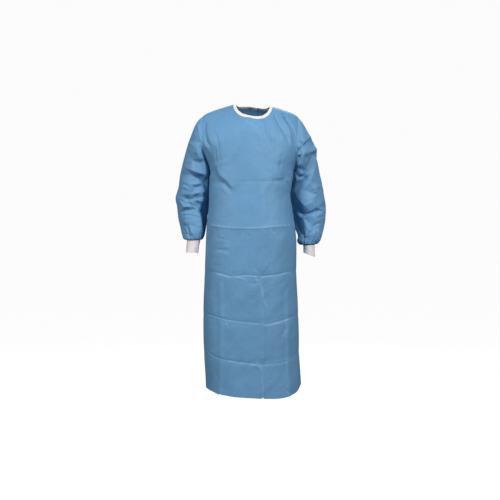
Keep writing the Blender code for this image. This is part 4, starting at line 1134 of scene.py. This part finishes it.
def sleeve(name, source, hand, front, back, finish):
    """A sleeve from its armhole to the ring that meets the cuff."""
    hole, hole_normals = armhole_ring(front, back, hand)
    turn = np.arange(len(hole)) * 2 * math.pi / len(hole)
    outward_way = away_from_panel(hole, hole_normals, hand)
    armhole_row = (
        0, hand * hole[0, 0], hole[0, 2], hand * hole[ARMHOLE_STEPS, 0], hole[ARMHOLE_STEPS, 2],
        source[0][5], source[0][6], 0.0, 0.0,
    )
    rows = table(SLEEVE_COLUMNS, armhole_row, *source)
    first = {column: rows[column][0] for column in SLEEVE_COLUMNS}
    own_shape = hole - ring_points(first, hand, turn)
    numbers = np.concatenate([[0], np.arange(1, LAST_RING * RINGS_EACH + 1) / RINGS_EACH])
    rings = [hole + outward_way * SEAM_GAP]
    for number in numbers[1:]:
        row = {column: float(read(rows, column, number)) for column in SLEEVE_COLUMNS}
        left_over = (1 - min(number / ARMHOLE_BLEND, 1)) ** 2
        rings.append(crowd(ring_points(row, hand, turn) + own_shape * left_over, hand, number, turn))
    seam = cuff_ring(hand, 0, turn)
    last, end = rings[-1], seam + np.array([0, 0, SEAM_GAP])
    over = seam + radial(seam) * TURN_OUT + np.array([0, 0, TURN_HEIGHT])
    swollen = over + radial(seam) * TURN_SWELL
    for t in (0.25, 0.5, 0.75, 1.0):
        rings.append(last * (1 - t) ** 2 + 2 * t * (1 - t) * swollen + over * t**2)
    for t in (0.5, 1.0):
        rings.append(over * (1 - t) + end * t)
    base = np.array(rings)
    ring = np.concatenate([numbers, LAST_RING + np.array([0.2, 0.4, 0.6, 0.8, 0.9, 1.0])])
    normals = tube_normals(base)
    normals[0] = hole_normals
    normals[-1] = radial(seam)
    relief = sleeve_relief(base, ring, hand, turn)
    relief[0] = 0
    relief[-1] = 0
    shaped = base + normals * relief[..., None]
    fine = surface_normals(shaped, normals, around=True)
    return shell(name, shaped, shaped - fine * CLOTH, finish, around=True)


def tube_normals(rings):
    """Outward directions of a tube given as rings."""
    along = np.gradient(rings, axis=0)
    around = np.roll(rings, -1, axis=1) - np.roll(rings, 1, axis=1)
    normals = unit(np.cross(along, around))
    middles = rings.mean(axis=1, keepdims=True)
    middle_row = len(rings) // 2
    outward_share = ((rings - middles) * normals).sum(axis=-1)[middle_row].mean()
    return normals * np.sign(outward_share)


def radial(ring):
    """Level directions out from the middle of a level ring, square to its outline."""
    along = np.roll(ring, -1, axis=0) - np.roll(ring, 1, axis=0)
    along[:, 2] = 0
    normals = unit(np.cross(along, np.array([0, 0, 1.0])))
    outward_share = ((ring - ring.mean(axis=0)) * normals).sum(axis=-1).mean()
    return normals * np.sign(outward_share)


def crowd(points, hand, number, turn):
    """Cloth under the arm pushed in against the body."""
    inward = read(UNDERARM, "right" if hand == RIGHT else "left", number)
    points[:, 0] -= hand * inward * np.clip(-np.cos(turn), 0, 1) ** 1.5
    return points


def cuff_ring(hand, end, turn):
    """A ring of the cuff, between its seam (end 0) and its open end (end 1)."""
    row = {name: read(CUFFS[hand], name, end) for name in CUFF_COLUMNS}
    row["front"] = row["back"] = row["half_depth"]
    row["out_y"] = row["in_y"] = row["middle_y"]
    return ring_points(row, hand, turn)


def cuff(name, hand, finish):
    """A knit cuff, ribbed outside and plain inside."""
    count = RIB_POINTS * CUFF_RIBS
    turn = np.arange(count) * 2 * math.pi / count
    ribs = RIB_RELIEF * (0.5 - 0.5 * np.cos(CUFF_RIBS * turn))
    ends = np.linspace(0, 1, CUFF_ROWS)
    rings = np.array([cuff_ring(hand, end, turn) for end in ends])
    normals = np.array([radial(ring) for ring in rings])
    # the knit is drawn in a little between its seam and its folded end
    drawn = -CUFF_DRAWN * np.sin(math.pi * ends) ** 0.8
    waves = CUFF_WAVE * np.sin(3 * turn[None, :] + 5 * ends[:, None] + hand)
    relief = ribs[None, :] + drawn[:, None] + waves * np.sin(math.pi * ends)[:, None]
    outer = rings + normals * relief[..., None]
    inner = rings + normals * (drawn[:, None] - KNIT)[..., None]
    return shell(name, outer, inner, finish, around=True)


def neck_run(panel):
    """Points, directions and upward directions of a panel's neck edge."""
    points, normals = panel
    near = np.abs(points[0, :, 0] - NECK_MIDDLE) < NECK_HALF + TOUCHING
    up = unit(points[0, near] - points[1, near])
    return points[0, near], normals[0, near], up


def smoothed(values, times):
    """Values along a line, evened out."""
    for _ in range(times):
        inner = (values[:-2] + 2 * values[1:-1] + values[2:]) / 4
        values = np.concatenate([values[:1], inner, values[-1:]])
    return values


def neck_binding(front, outer_back, inner_back, finish):
    """The folded strip on the neck edge, its ends lapped like the back panels."""
    runs = [neck_run(outer_back), neck_run(front), neck_run(inner_back)]
    order = [slice(0, -1), slice(None, None, -1), slice(-2, None, -1)]
    points, normals, up = (
        np.concatenate([run[part][cut] for run, cut in zip(runs, order)]) for part in range(3)
    )
    # square to the neck edge, and towards its free side
    square = unit(np.cross(normals, np.gradient(points, axis=0)))
    square *= np.sign((square * up).sum(axis=-1).mean())
    normals, up = unit(smoothed(normals, BINDING_EVEN)), unit(smoothed(square, BINDING_EVEN))
    up = unit(up - normals * (up * normals).sum(axis=-1, keepdims=True))
    heights, swell = BINDING["height"], BINDING["swell"]
    along = np.arange(len(points))
    wave = 0.0003 * np.sin(along * 0.55) + 0.00025 * np.sin(along * 0.23 + 1)
    lift = up[None] * (SEAM_GAP + heights)[:, None, None]
    rise_of = swell[:, None] + wave[None, :] * ease((heights + 0.005) / 0.01)[:, None]
    # its free fold takes the shoulder corners rounder than the seam does
    rounder = (smoothed(points, BINDING_ROUND) - points)[None]
    rounder = ease((heights - heights[0]) / np.ptp(heights))[:, None, None] * rounder
    outer = points[None] + rounder + lift + normals[None] * rise_of[..., None]
    under = np.minimum(swell - BINDING_THICKNESS, -BINDING_INSIDE)
    inner = points[None] + rounder + lift + normals[None] * under[:, None, None]
    stitched = points - up * STITCH_INSET + normals * BINDING_STITCH_HEIGHT
    white = thread_material("white_thread", (0.80, 0.80, 0.82))
    stitching("binding_stitches", [(stitched, normals)], white)
    return shell("neck_binding", outer, inner, finish)


def surface_tree(piece):
    """A piece's faces, to be looked up by rays."""
    mesh = piece.data
    corners = [vertex.co for vertex in mesh.vertices]
    return BVHTree.FromPolygons(corners, [face.vertices for face in mesh.polygons])


def cloth_stand(panels, x, z):
    """How far the panels' cloth stands off the base at most, close round each point."""
    highest = np.full(x.shape, -1.0)
    for across in (-NEAR, 0, NEAR):
        for up in (-NEAR, 0, NEAR):
            base, normal = body_surface(x + across, z + up, BACK)
            for place in np.ndindex(x.shape):
                start = (base[place][0], 1.0, base[place][2])
                hits = [panel.ray_cast(start, (0, -1, 0))[0] for panel in panels]
                outermost = max((hit.y for hit in hits if hit), default=-1.0)
                stand = (outermost - base[place][1]) * normal[place][1]
                highest[place] = max(highest[place], stand)
    return highest


def lying_piece(name, panels, x, z, under, over, finish):
    """A piece laid on the back: its underside and top stand off the cloth as given."""
    point, normal = body_surface(x, z, BACK)
    base = cloth_stand(panels, x, z)
    outer = point + normal * (base + over)[..., None]
    inner = point + normal * (base + under)[..., None]
    return shell(name, outer, inner, finish)


def strip(x_ends, z_ends, x_steps, z_steps):
    """A grid of x and z over a rectangle."""
    x, z = np.linspace(*x_ends, x_steps + 1), np.linspace(*z_ends, z_steps + 1)
    return np.meshgrid(x, z)


def neck_tab(panels, finish):
    """The hook-and-loop tab that holds the backs together at the neck."""
    x, z = strip(TAB_X, TAB_Z, 62, 22)
    across = (x - np.mean(TAB_X)) / (np.ptp(TAB_X) / 2)
    up = (z - np.mean(TAB_Z)) / (np.ptp(TAB_Z) / 2)
    # its corners are rounded, and a stitched groove runs inside its edge
    x = x - across * np.abs(up) ** 8 * TAB_CORNER
    z = z - up * np.abs(across) ** 20 * TAB_CORNER
    from_edge = np.minimum((1 - np.abs(across)) * np.ptp(TAB_X) / 2, (1 - np.abs(up)) * np.ptp(TAB_Z) / 2)
    flat = np.full(x.shape, CLEARANCE)
    top = flat + TAPE
    for depth, inset, reach in (TAB_GROOVE, TAB_EDGE):
        top = top - depth * ease(1 - np.abs(from_edge - inset) / reach)
    return lying_piece("neck_tab", panels, x, z, flat, top, finish)


def waist_ties(panels, finish):
    """Two ties on the back, from the outer panel's edge and from the right side seam."""
    reach = {
        LEFT: (KNOT_X[1] + SEAM_GAP, -read(LAP, "outer", TIE_HEIGHT) + TIE_ON_PANEL),
        RIGHT: (side_line(TIE_HEIGHT, RIGHT) + TIE_FROM_SEAM, KNOT_X[0] - SEAM_GAP),
    }
    made = []
    for hand, word in ((RIGHT, "right"), (LEFT, "left")):
        x, z = strip(reach[hand], (TIE_HEIGHT - TIE_HALF, TIE_HEIGHT + TIE_HALF), 24, 10)
        # the tape narrows where the knot takes it
        toward = (x - reach[hand][0]) / (reach[hand][1] - reach[hand][0])
        toward = toward if hand == RIGHT else 1 - toward
        narrow = 1 - 0.35 * ease((toward - 0.55) / 0.45)
        z = TIE_HEIGHT + (z - TIE_HEIGHT) * narrow
        pleats = PLEAT * np.cos((z - TIE_HEIGHT) / TIE_HALF * 7) * ease((toward - 0.3) / 0.7)
        under = CLEARANCE + PLEAT - TIE_CLOTH / 2 + pleats
        name = f"waist_tie_{word}"
        made.append(lying_piece(name, panels, x, z, under, under + TIE_CLOTH, finish))
    return made


def tie_knot(panels, finish):
    """The knot: a turned band over the two tapes, with pleats along it."""
    x, z = strip(KNOT_X, KNOT_Z, 28, 30)
    u = (x - np.mean(KNOT_X)) / (np.ptp(KNOT_X) / 2)
    v = (z - np.mean(KNOT_Z)) / (np.ptp(KNOT_Z) / 2)
    dome = np.sqrt(np.clip(1 - 0.92 * np.clip(u * u + v * v - 0.35 * u * u * v * v, 0, 1), 0, 1))
    slant = u * 0.8 + v
    pleats = 0.0010 * np.cos(slant * 9) * (1 - u**2) + 0.0022 * ease(1 - np.abs(v - 0.5 * u) / 0.30)
    flat = np.full(x.shape, CLEARANCE)
    rise_of = 0.0030 + (0.0095 + pleats) * dome
    return lying_piece("tie_knot", panels, x, z, flat, flat + rise_of, finish)


def tie_ends(panels, finish):
    """The two free ends, hanging down the back below the knot."""
    made = []
    for hand, x_top, x_foot, foot, lift in TIE_ENDS[1:]:
        word = "right" if hand == RIGHT else "left"
        down = np.linspace(0, 1, 61)
        middle = x_top + (x_foot - x_top) * down**1.5
        across = np.linspace(-0.5, 0.5, 11)
        width = END_WIDTH * (0.62 + 0.38 * ease(down / 0.25))
        x = middle[:, None] + across[None, :] * width[:, None]
        z = (KNOT_Z[0] - SEAM_GAP + (foot - KNOT_Z[0]) * down)[:, None] + np.zeros(x.shape)
        stand = CLEARANCE + lift * np.sin(math.pi * down)[:, None] + np.zeros(x.shape)
        curl = 0.0012 * np.cos(across * 6)[None, :] * (1 - 0.6 * down)[:, None]
        twist = 0.0016 * np.sin(down * 9 + hand)[:, None] * across[None, :] * 2
        under = stand + 0.0012 + curl * 0.6 + twist - TIE_CLOTH / 2
        name = f"tie_end_{word}"
        made.append(lying_piece(name, panels, x, z, under, under + TIE_CLOTH, finish))
    return made


def even_points(line, directions, pitch):
    """Places a pitch apart along a line, with the outward direction at each."""
    steps = np.linalg.norm(np.diff(line, axis=0), axis=1)
    along = np.concatenate([[0], np.cumsum(steps)])
    at = np.arange(pitch / 2, along[-1], pitch)
    places = np.stack([np.interp(at, along, line[:, k]) for k in range(3)], axis=-1)
    outward_at = np.stack([np.interp(at, along, directions[:, k]) for k in range(3)], axis=-1)
    ahead = np.stack([np.interp(at + pitch / 4, along, line[:, k]) for k in range(3)], axis=-1)
    return places, unit(outward_at), unit(ahead - places)


def stitching(name, lines, finish):
    """Runs of short stitches that lie half sunk in the cloth."""
    turn = np.arange(THREAD_SIDES) * 2 * math.pi / THREAD_SIDES
    spots = np.array([-0.5, -0.28, 0.28, 0.5])
    fullness = np.array([0.35, 1.0, 1.0, 0.35])
    sides = np.arange(THREAD_SIDES)
    points, faces = [], []
    for line, directions in lines:
        for place, up, ahead in zip(*even_points(line, directions, STITCH_PITCH)):
            side = np.cross(ahead, up)
            first = len(points)
            for spot, full in zip(spots, fullness):
                middle = place + ahead * spot * STITCH_LENGTH - up * (1 - full) * THREAD
                for angle in turn:
                    points.append(middle + THREAD * full * (math.cos(angle) * side + math.sin(angle) * up))
            last = first + (len(spots) - 1) * THREAD_SIDES
            for start in range(first, last, THREAD_SIDES):
                for here, beside in zip(start + sides, start + np.roll(sides, -1)):
                    faces.append((here, beside, beside + THREAD_SIDES, here + THREAD_SIDES))
            faces.append(tuple(range(first + THREAD_SIDES - 1, first - 1, -1)))
            faces.append(tuple(range(last, last + THREAD_SIDES)))
    mesh = bpy.data.meshes.new(name)
    mesh.from_pydata([tuple(point) for point in points], [], faces)
    mesh.shade_smooth()
    placed(name, mesh, finish)


def panel_seams(front):
    """Lines beside the shoulder and side seams of the front, with outward directions."""
    points, normals = front
    lines = []
    for column, inward in ((0, 1), (-1, -1)):
        edge = points[ARMHOLE_STEPS:, column]
        step = points[ARMHOLE_STEPS:, column + inward] - edge
        lines.append((edge + unit(step) * STITCH_INSET, normals[ARMHOLE_STEPS:, column]))
    for keep in (points[0, :, 0] < NECK_MIDDLE - NECK_HALF, points[0, :, 0] > NECK_MIDDLE + NECK_HALF):
        down = unit(points[1, keep] - points[0, keep])
        lines.append((points[0, keep] + down * STITCH_INSET, normals[1, keep]))
    return lines


def armhole_seam(front, back, hand):
    """A line on the body beside the armhole."""
    points, normals = armhole_ring(front, back, hand)
    inward = -away_from_panel(points, normals, hand)
    closed = np.concatenate([points + inward * STITCH_INSET, points[:1] + inward[:1] * STITCH_INSET])
    return closed, np.concatenate([normals, normals[:1]])


# Finishes
def node_tree_tools(tree):
    """Short ways to add a node, to join sockets and to calculate with them."""

    def add(kind, **inputs):
        made = tree.nodes.new(kind)
        for name, value in inputs.items():
            made.inputs[name.replace("_", " ")].default_value = value
        return made

    def join(source, target):
        tree.links.new(source, target)

    def calc(operation, *values):
        node = tree.nodes.new("ShaderNodeMath")
        node.operation = operation
        for value, socket in zip(values, node.inputs):
            if isinstance(value, (int, float)):
                socket.default_value = value
            else:
                join(value, socket)
        return node.outputs[0]

    return add, join, calc


def group_sockets(group, inputs, outputs):
    """What goes into a node group, with its usual values, and what comes out."""
    for name, kind, value in inputs:
        socket = group.interface.new_socket(name, in_out="INPUT", socket_type=kind)
        socket.default_value = value
    for name, kind in outputs:
        group.interface.new_socket(name, in_out="OUTPUT", socket_type=kind)


def web_group():
    """Bonded fibre web: cloudy colour, fine fibres, a field of small pressed points and a painted highlight
    along creases.
    """
    group = bpy.data.node_groups.new("Bonded web", "ShaderNodeTree")
    group_sockets(
        group,
        [
            ("Colour", "NodeSocketColor", (0.2, 0.4, 0.6, 1)),
            ("Cloudiness", "NodeSocketFloat", 0.75),
            ("Point pitch", "NodeSocketFloat", 0.0022),
            ("Painted highlight", "NodeSocketFloat", 0.0),
        ],
        [("Colour", "NodeSocketColor"), ("Height", "NodeSocketFloat"), ("Roughness", "NodeSocketFloat")],
    )
    add, join, calc = node_tree_tools(group)
    enter, leave = add("NodeGroupInput"), add("NodeGroupOutput")
    uv = add("ShaderNodeUVMap")
    uv.uv_map = "cloth"
    cloud = add("ShaderNodeTexNoise", Scale=150.0, Detail=3.0, Roughness=0.65)
    wide = add("ShaderNodeTexNoise", Scale=9.0, Detail=3.0, Roughness=0.5)
    fibre = add("ShaderNodeTexNoise", Scale=1500.0, Detail=3.0, Roughness=0.7)
    for texture in (cloud, wide, fibre):
        join(uv.outputs["UV"], texture.inputs["Vector"])
    mixed = calc(
        "ADD", calc("MULTIPLY", cloud.outputs["Fac"], 0.6), calc("MULTIPLY", wide.outputs["Fac"], 0.4)
    )
    shade = calc("MULTIPLY", calc("SUBTRACT", mixed, 0.5), enter.outputs["Cloudiness"])
    fibre_shade = calc("MULTIPLY", calc("SUBTRACT", fibre.outputs["Fac"], 0.5), 0.30)
    value = calc("ADD", calc("ADD", shade, fibre_shade), 1.0)
    tint = add("ShaderNodeHueSaturation")
    join(enter.outputs["Colour"], tint.inputs["Color"])
    join(value, tint.inputs["Value"])
    # painted highlight: along the creases the colour is mixed towards a pale blue
    pale = add("ShaderNodeMix")
    pale.data_type = "RGBA"
    pale.inputs["B"].default_value = (0.48, 0.66, 0.86, 1)
    join(tint.outputs["Color"], pale.inputs["A"])
    join(calc("MULTIPLY", enter.outputs["Painted highlight"], 0.55), pale.inputs["Factor"])
    join(pale.outputs["Result"], leave.inputs["Colour"])
    split = add("ShaderNodeSeparateXYZ")
    join(uv.outputs["UV"], split.inputs["Vector"])
    pitch = enter.outputs["Point pitch"]
    waves = [
        calc("COSINE", calc("MULTIPLY", calc("DIVIDE", split.outputs[axis], pitch), math.pi)) for axis in "XY"
    ]
    points = calc("MULTIPLY", *waves)
    pressed = calc("POWER", calc("MAXIMUM", points, 0.0), 3.0)
    fibres = calc("MULTIPLY", fibre.outputs["Fac"], 0.5)
    lumps = calc("MULTIPLY", cloud.outputs["Fac"], 1.6)
    height = calc("SUBTRACT", calc("ADD", fibres, lumps), calc("MULTIPLY", pressed, 0.5))
    join(height, leave.inputs["Height"])
    rough = calc("ADD", calc("MULTIPLY", cloud.outputs["Fac"], 0.16), 0.50)
    join(calc("SUBTRACT", rough, calc("MULTIPLY", pressed, 0.12)), leave.inputs["Roughness"])
    return group


def new_material(name, **inputs):
    """A material, its shader with the inputs set, and the tools for its nodes."""
    made = bpy.data.materials.new(name)
    made.use_nodes = True
    shader = made.node_tree.nodes["Principled BSDF"]
    for socket, value in inputs.items():
        shader.inputs[socket.replace("_", " ")].default_value = value
    return made, shader, *node_tree_tools(made.node_tree)


def cloth_material(name, web, colour):
    """Non-woven cloth, with a painted highlight along its creases that stands in for light on their flanks.
    """
    made, shader, add, join, _ = new_material(
        name, Sheen_Weight=0.05, Sheen_Roughness=0.45, Specular_IOR_Level=0.30
    )
    weave = add("ShaderNodeGroup")
    weave.node_tree = web
    weave.inputs["Colour"].default_value = (*colour, 1)
    # the painted crease highlight, read from the mesh
    highlight_attribute = add("ShaderNodeAttribute")
    highlight_attribute.attribute_name = "white"
    join(highlight_attribute.outputs["Fac"], weave.inputs["Painted highlight"])
    join(weave.outputs["Colour"], shader.inputs["Base Color"])
    join(weave.outputs["Roughness"], shader.inputs["Roughness"])
    bump = add("ShaderNodeBump", Strength=0.35, Distance=0.0004)
    join(weave.outputs["Height"], bump.inputs["Height"])
    join(bump.outputs["Normal"], shader.inputs["Normal"])
    return made


def knit_material(name, colour, wale, course):
    """Fine knit: columns of small stitches, in white yarn."""
    made, shader, add, join, calc = new_material(
        name, Roughness=0.85, Sheen_Weight=0.25, Sheen_Roughness=0.5, Specular_IOR_Level=0.25
    )
    uv = add("ShaderNodeUVMap")
    uv.uv_map = "cloth"
    split = add("ShaderNodeSeparateXYZ")
    join(uv.outputs["UV"], split.inputs["Vector"])
    across = calc("MULTIPLY", split.outputs["X"], 2 * math.pi / wale)
    wales = calc("COSINE", across)
    slant = calc("MULTIPLY", calc("ABSOLUTE", calc("SINE", calc("MULTIPLY", across, 0.5))), 1.6)
    down = calc("MULTIPLY", split.outputs["Y"], 2 * math.pi / course)
    rows = calc("SINE", calc("ADD", down, slant))
    fuzz = add("ShaderNodeTexNoise", Scale=900.0, Detail=3.0)
    join(uv.outputs["UV"], fuzz.inputs["Vector"])
    height = calc("ADD", calc("MULTIPLY", wales, 0.5), calc("MULTIPLY", rows, 0.3))
    height = calc("ADD", height, calc("MULTIPLY", fuzz.outputs["Fac"], 0.6))
    bump = add("ShaderNodeBump", Strength=0.4, Distance=0.0003)
    join(height, bump.inputs["Height"])
    join(bump.outputs["Normal"], shader.inputs["Normal"])
    # its colour follows the knit's height: painted shade, a little darker in the grooves between ribs and
    # rows, with random yarn tone from the fuzz
    tint = add("ShaderNodeHueSaturation")
    tint.inputs["Color"].default_value = (*colour, 1)
    join(calc("ADD", calc("MULTIPLY", height, 0.05), 0.96), tint.inputs["Value"])
    join(tint.outputs["Color"], shader.inputs["Base Color"])
    return made


def thread_material(name, colour):
    """Plain sewing thread."""
    return new_material(name, Base_Color=(*colour, 1), Roughness=0.55)[0]


def camera():
    """A level camera in front of the gown, which frames it as the photograph does."""
    data = bpy.data.cameras.new("camera")
    data.lens, data.sensor_width = 80, 36
    data.clip_start, data.clip_end = 0.1, 200
    made = bpy.data.objects.new("camera", data)
    made.location = (0, -5, -0.6525)
    made.rotation_euler = (math.pi / 2, 0, 0)
    bpy.context.scene.collection.objects.link(made)
    bpy.context.scene.camera = made


def floor(height):
    """A wide pale floor, bright enough to run into the backdrop."""
    mesh = bpy.data.meshes.new("floor")
    ground = bmesh.new()
    bmesh.ops.create_circle(ground, cap_ends=True, segments=64, radius=60)
    ground.to_mesh(mesh)
    ground.free()
    made = bpy.data.objects.new("floor", mesh)
    made.location = (0, 0, height)
    finish, shader, add, join, calc = new_material(
        "studio_floor", Base_Color=(0.10, 0.10, 0.10, 1), Roughness=1.0,
        Specular_IOR_Level=0.0, Emission_Color=(1, 1, 1, 1),
    )
    # its glow is seen but lights nothing, so that the cloth keeps its shading
    path = add("ShaderNodeLightPath")
    join(calc("MULTIPLY", path.outputs["Is Camera Ray"], FLOOR_GLOW), shader.inputs["Emission Strength"])
    mesh.materials.append(finish)
    bpy.context.scene.collection.objects.link(made)


LAMPS = (
    ("name", "place", "size", "power", "colour"),
    ("key", (1.9, -3.2, 1.6), 0.6, 138, (1.0, 0.99, 0.98)),
    ("fill", (-2.8, -2.6, 1.2), 1.2, 92, (0.97, 0.99, 1.0)),
    ("rear", (0.6, 3.4, 2.2), 1.8, 85, (1.0, 1.0, 1.0)),
)
FLOOR_HEIGHT = -1.538
BACKDROP = 0.97
FLOOR_GLOW = 0.955
AMBIENT = 0.20


def lights():
    """Three soft lamps, even light from all round, and a plain pale backdrop."""
    scene = bpy.context.scene
    for name, place, size, power, colour in LAMPS[1:]:
        data = bpy.data.lights.new(name, "AREA")
        data.shape, data.size, data.energy, data.color = "DISK", size, power, colour
        lamp = bpy.data.objects.new(name, data)
        lamp.location = place
        aim = Vector((0, 0, -0.6)) - Vector(place)
        lamp.rotation_euler = aim.to_track_quat("-Z", "Y").to_euler()
        scene.collection.objects.link(lamp)
    world = bpy.data.worlds.new("studio")
    world.use_nodes = True
    nodes = world.node_tree.nodes
    add, join, _ = node_tree_tools(world.node_tree)
    ambient = nodes["Background"]
    ambient.inputs["Color"].default_value = (1, 1, 1, 1)
    ambient.inputs["Strength"].default_value = AMBIENT
    seen = add("ShaderNodeBackground", Color=(1, 1, 1, 1), Strength=BACKDROP)
    path, mix = add("ShaderNodeLightPath"), add("ShaderNodeMixShader")
    join(path.outputs["Is Camera Ray"], mix.inputs["Fac"])
    join(ambient.outputs["Background"], mix.inputs[1])
    join(seen.outputs["Background"], mix.inputs[2])
    join(mix.outputs["Shader"], nodes["World Output"].inputs["Surface"])
    scene.world = world
    scene.view_settings.view_transform = "Standard"
    scene.view_settings.look = "None"


def main():
    """The gown, piece by piece, then the studio."""
    camera()
    web = web_group()
    gown = cloth_material("gown_nonwoven", web, (0.120, 0.284, 0.480))
    tape = cloth_material("tie_nonwoven", web, (0.114, 0.274, 0.466))
    knit = knit_material("cuff_knit", (0.77, 0.71, 0.72), 0.00223, 0.0018)
    binding = knit_material("binding_knit", (0.76, 0.76, 0.79), 0.0012, 0.0010)
    thread = thread_material("blue_thread", (0.15, 0.32, 0.54))
    front_piece, *front = body_panel("front_panel", FRONT, None, gown)
    right_piece, *inner_back = body_panel("back_panel_right", BACK, RIGHT, gown)
    left_piece, *outer_back = body_panel("back_panel_left", BACK, LEFT, gown)
    sleeves = [
        sleeve("sleeve_right", RIGHT_SLEEVE, RIGHT, front, inner_back, gown),
        sleeve("sleeve_left", LEFT_SLEEVE, LEFT, front, outer_back, gown),
    ]
    seams = panel_seams(front)
    seams += [armhole_seam(front, inner_back, RIGHT), armhole_seam(front, outer_back, LEFT)]
    stitching("seam_stitches", seams, thread)
    right_cuff, left_cuff = cuff("cuff_right", RIGHT, knit), cuff("cuff_left", LEFT, knit)
    binding_piece = neck_binding(front, outer_back, inner_back, binding)
    panels = [surface_tree(piece) for piece in (right_piece, left_piece)]
    tab = neck_tab(panels, binding)
    right_tie, left_tie = waist_ties(panels, tape)
    tie_knot(panels, tape)
    right_end, left_end = tie_ends(panels, tape)
    floor(FLOOR_HEIGHT)
    lights()


main()
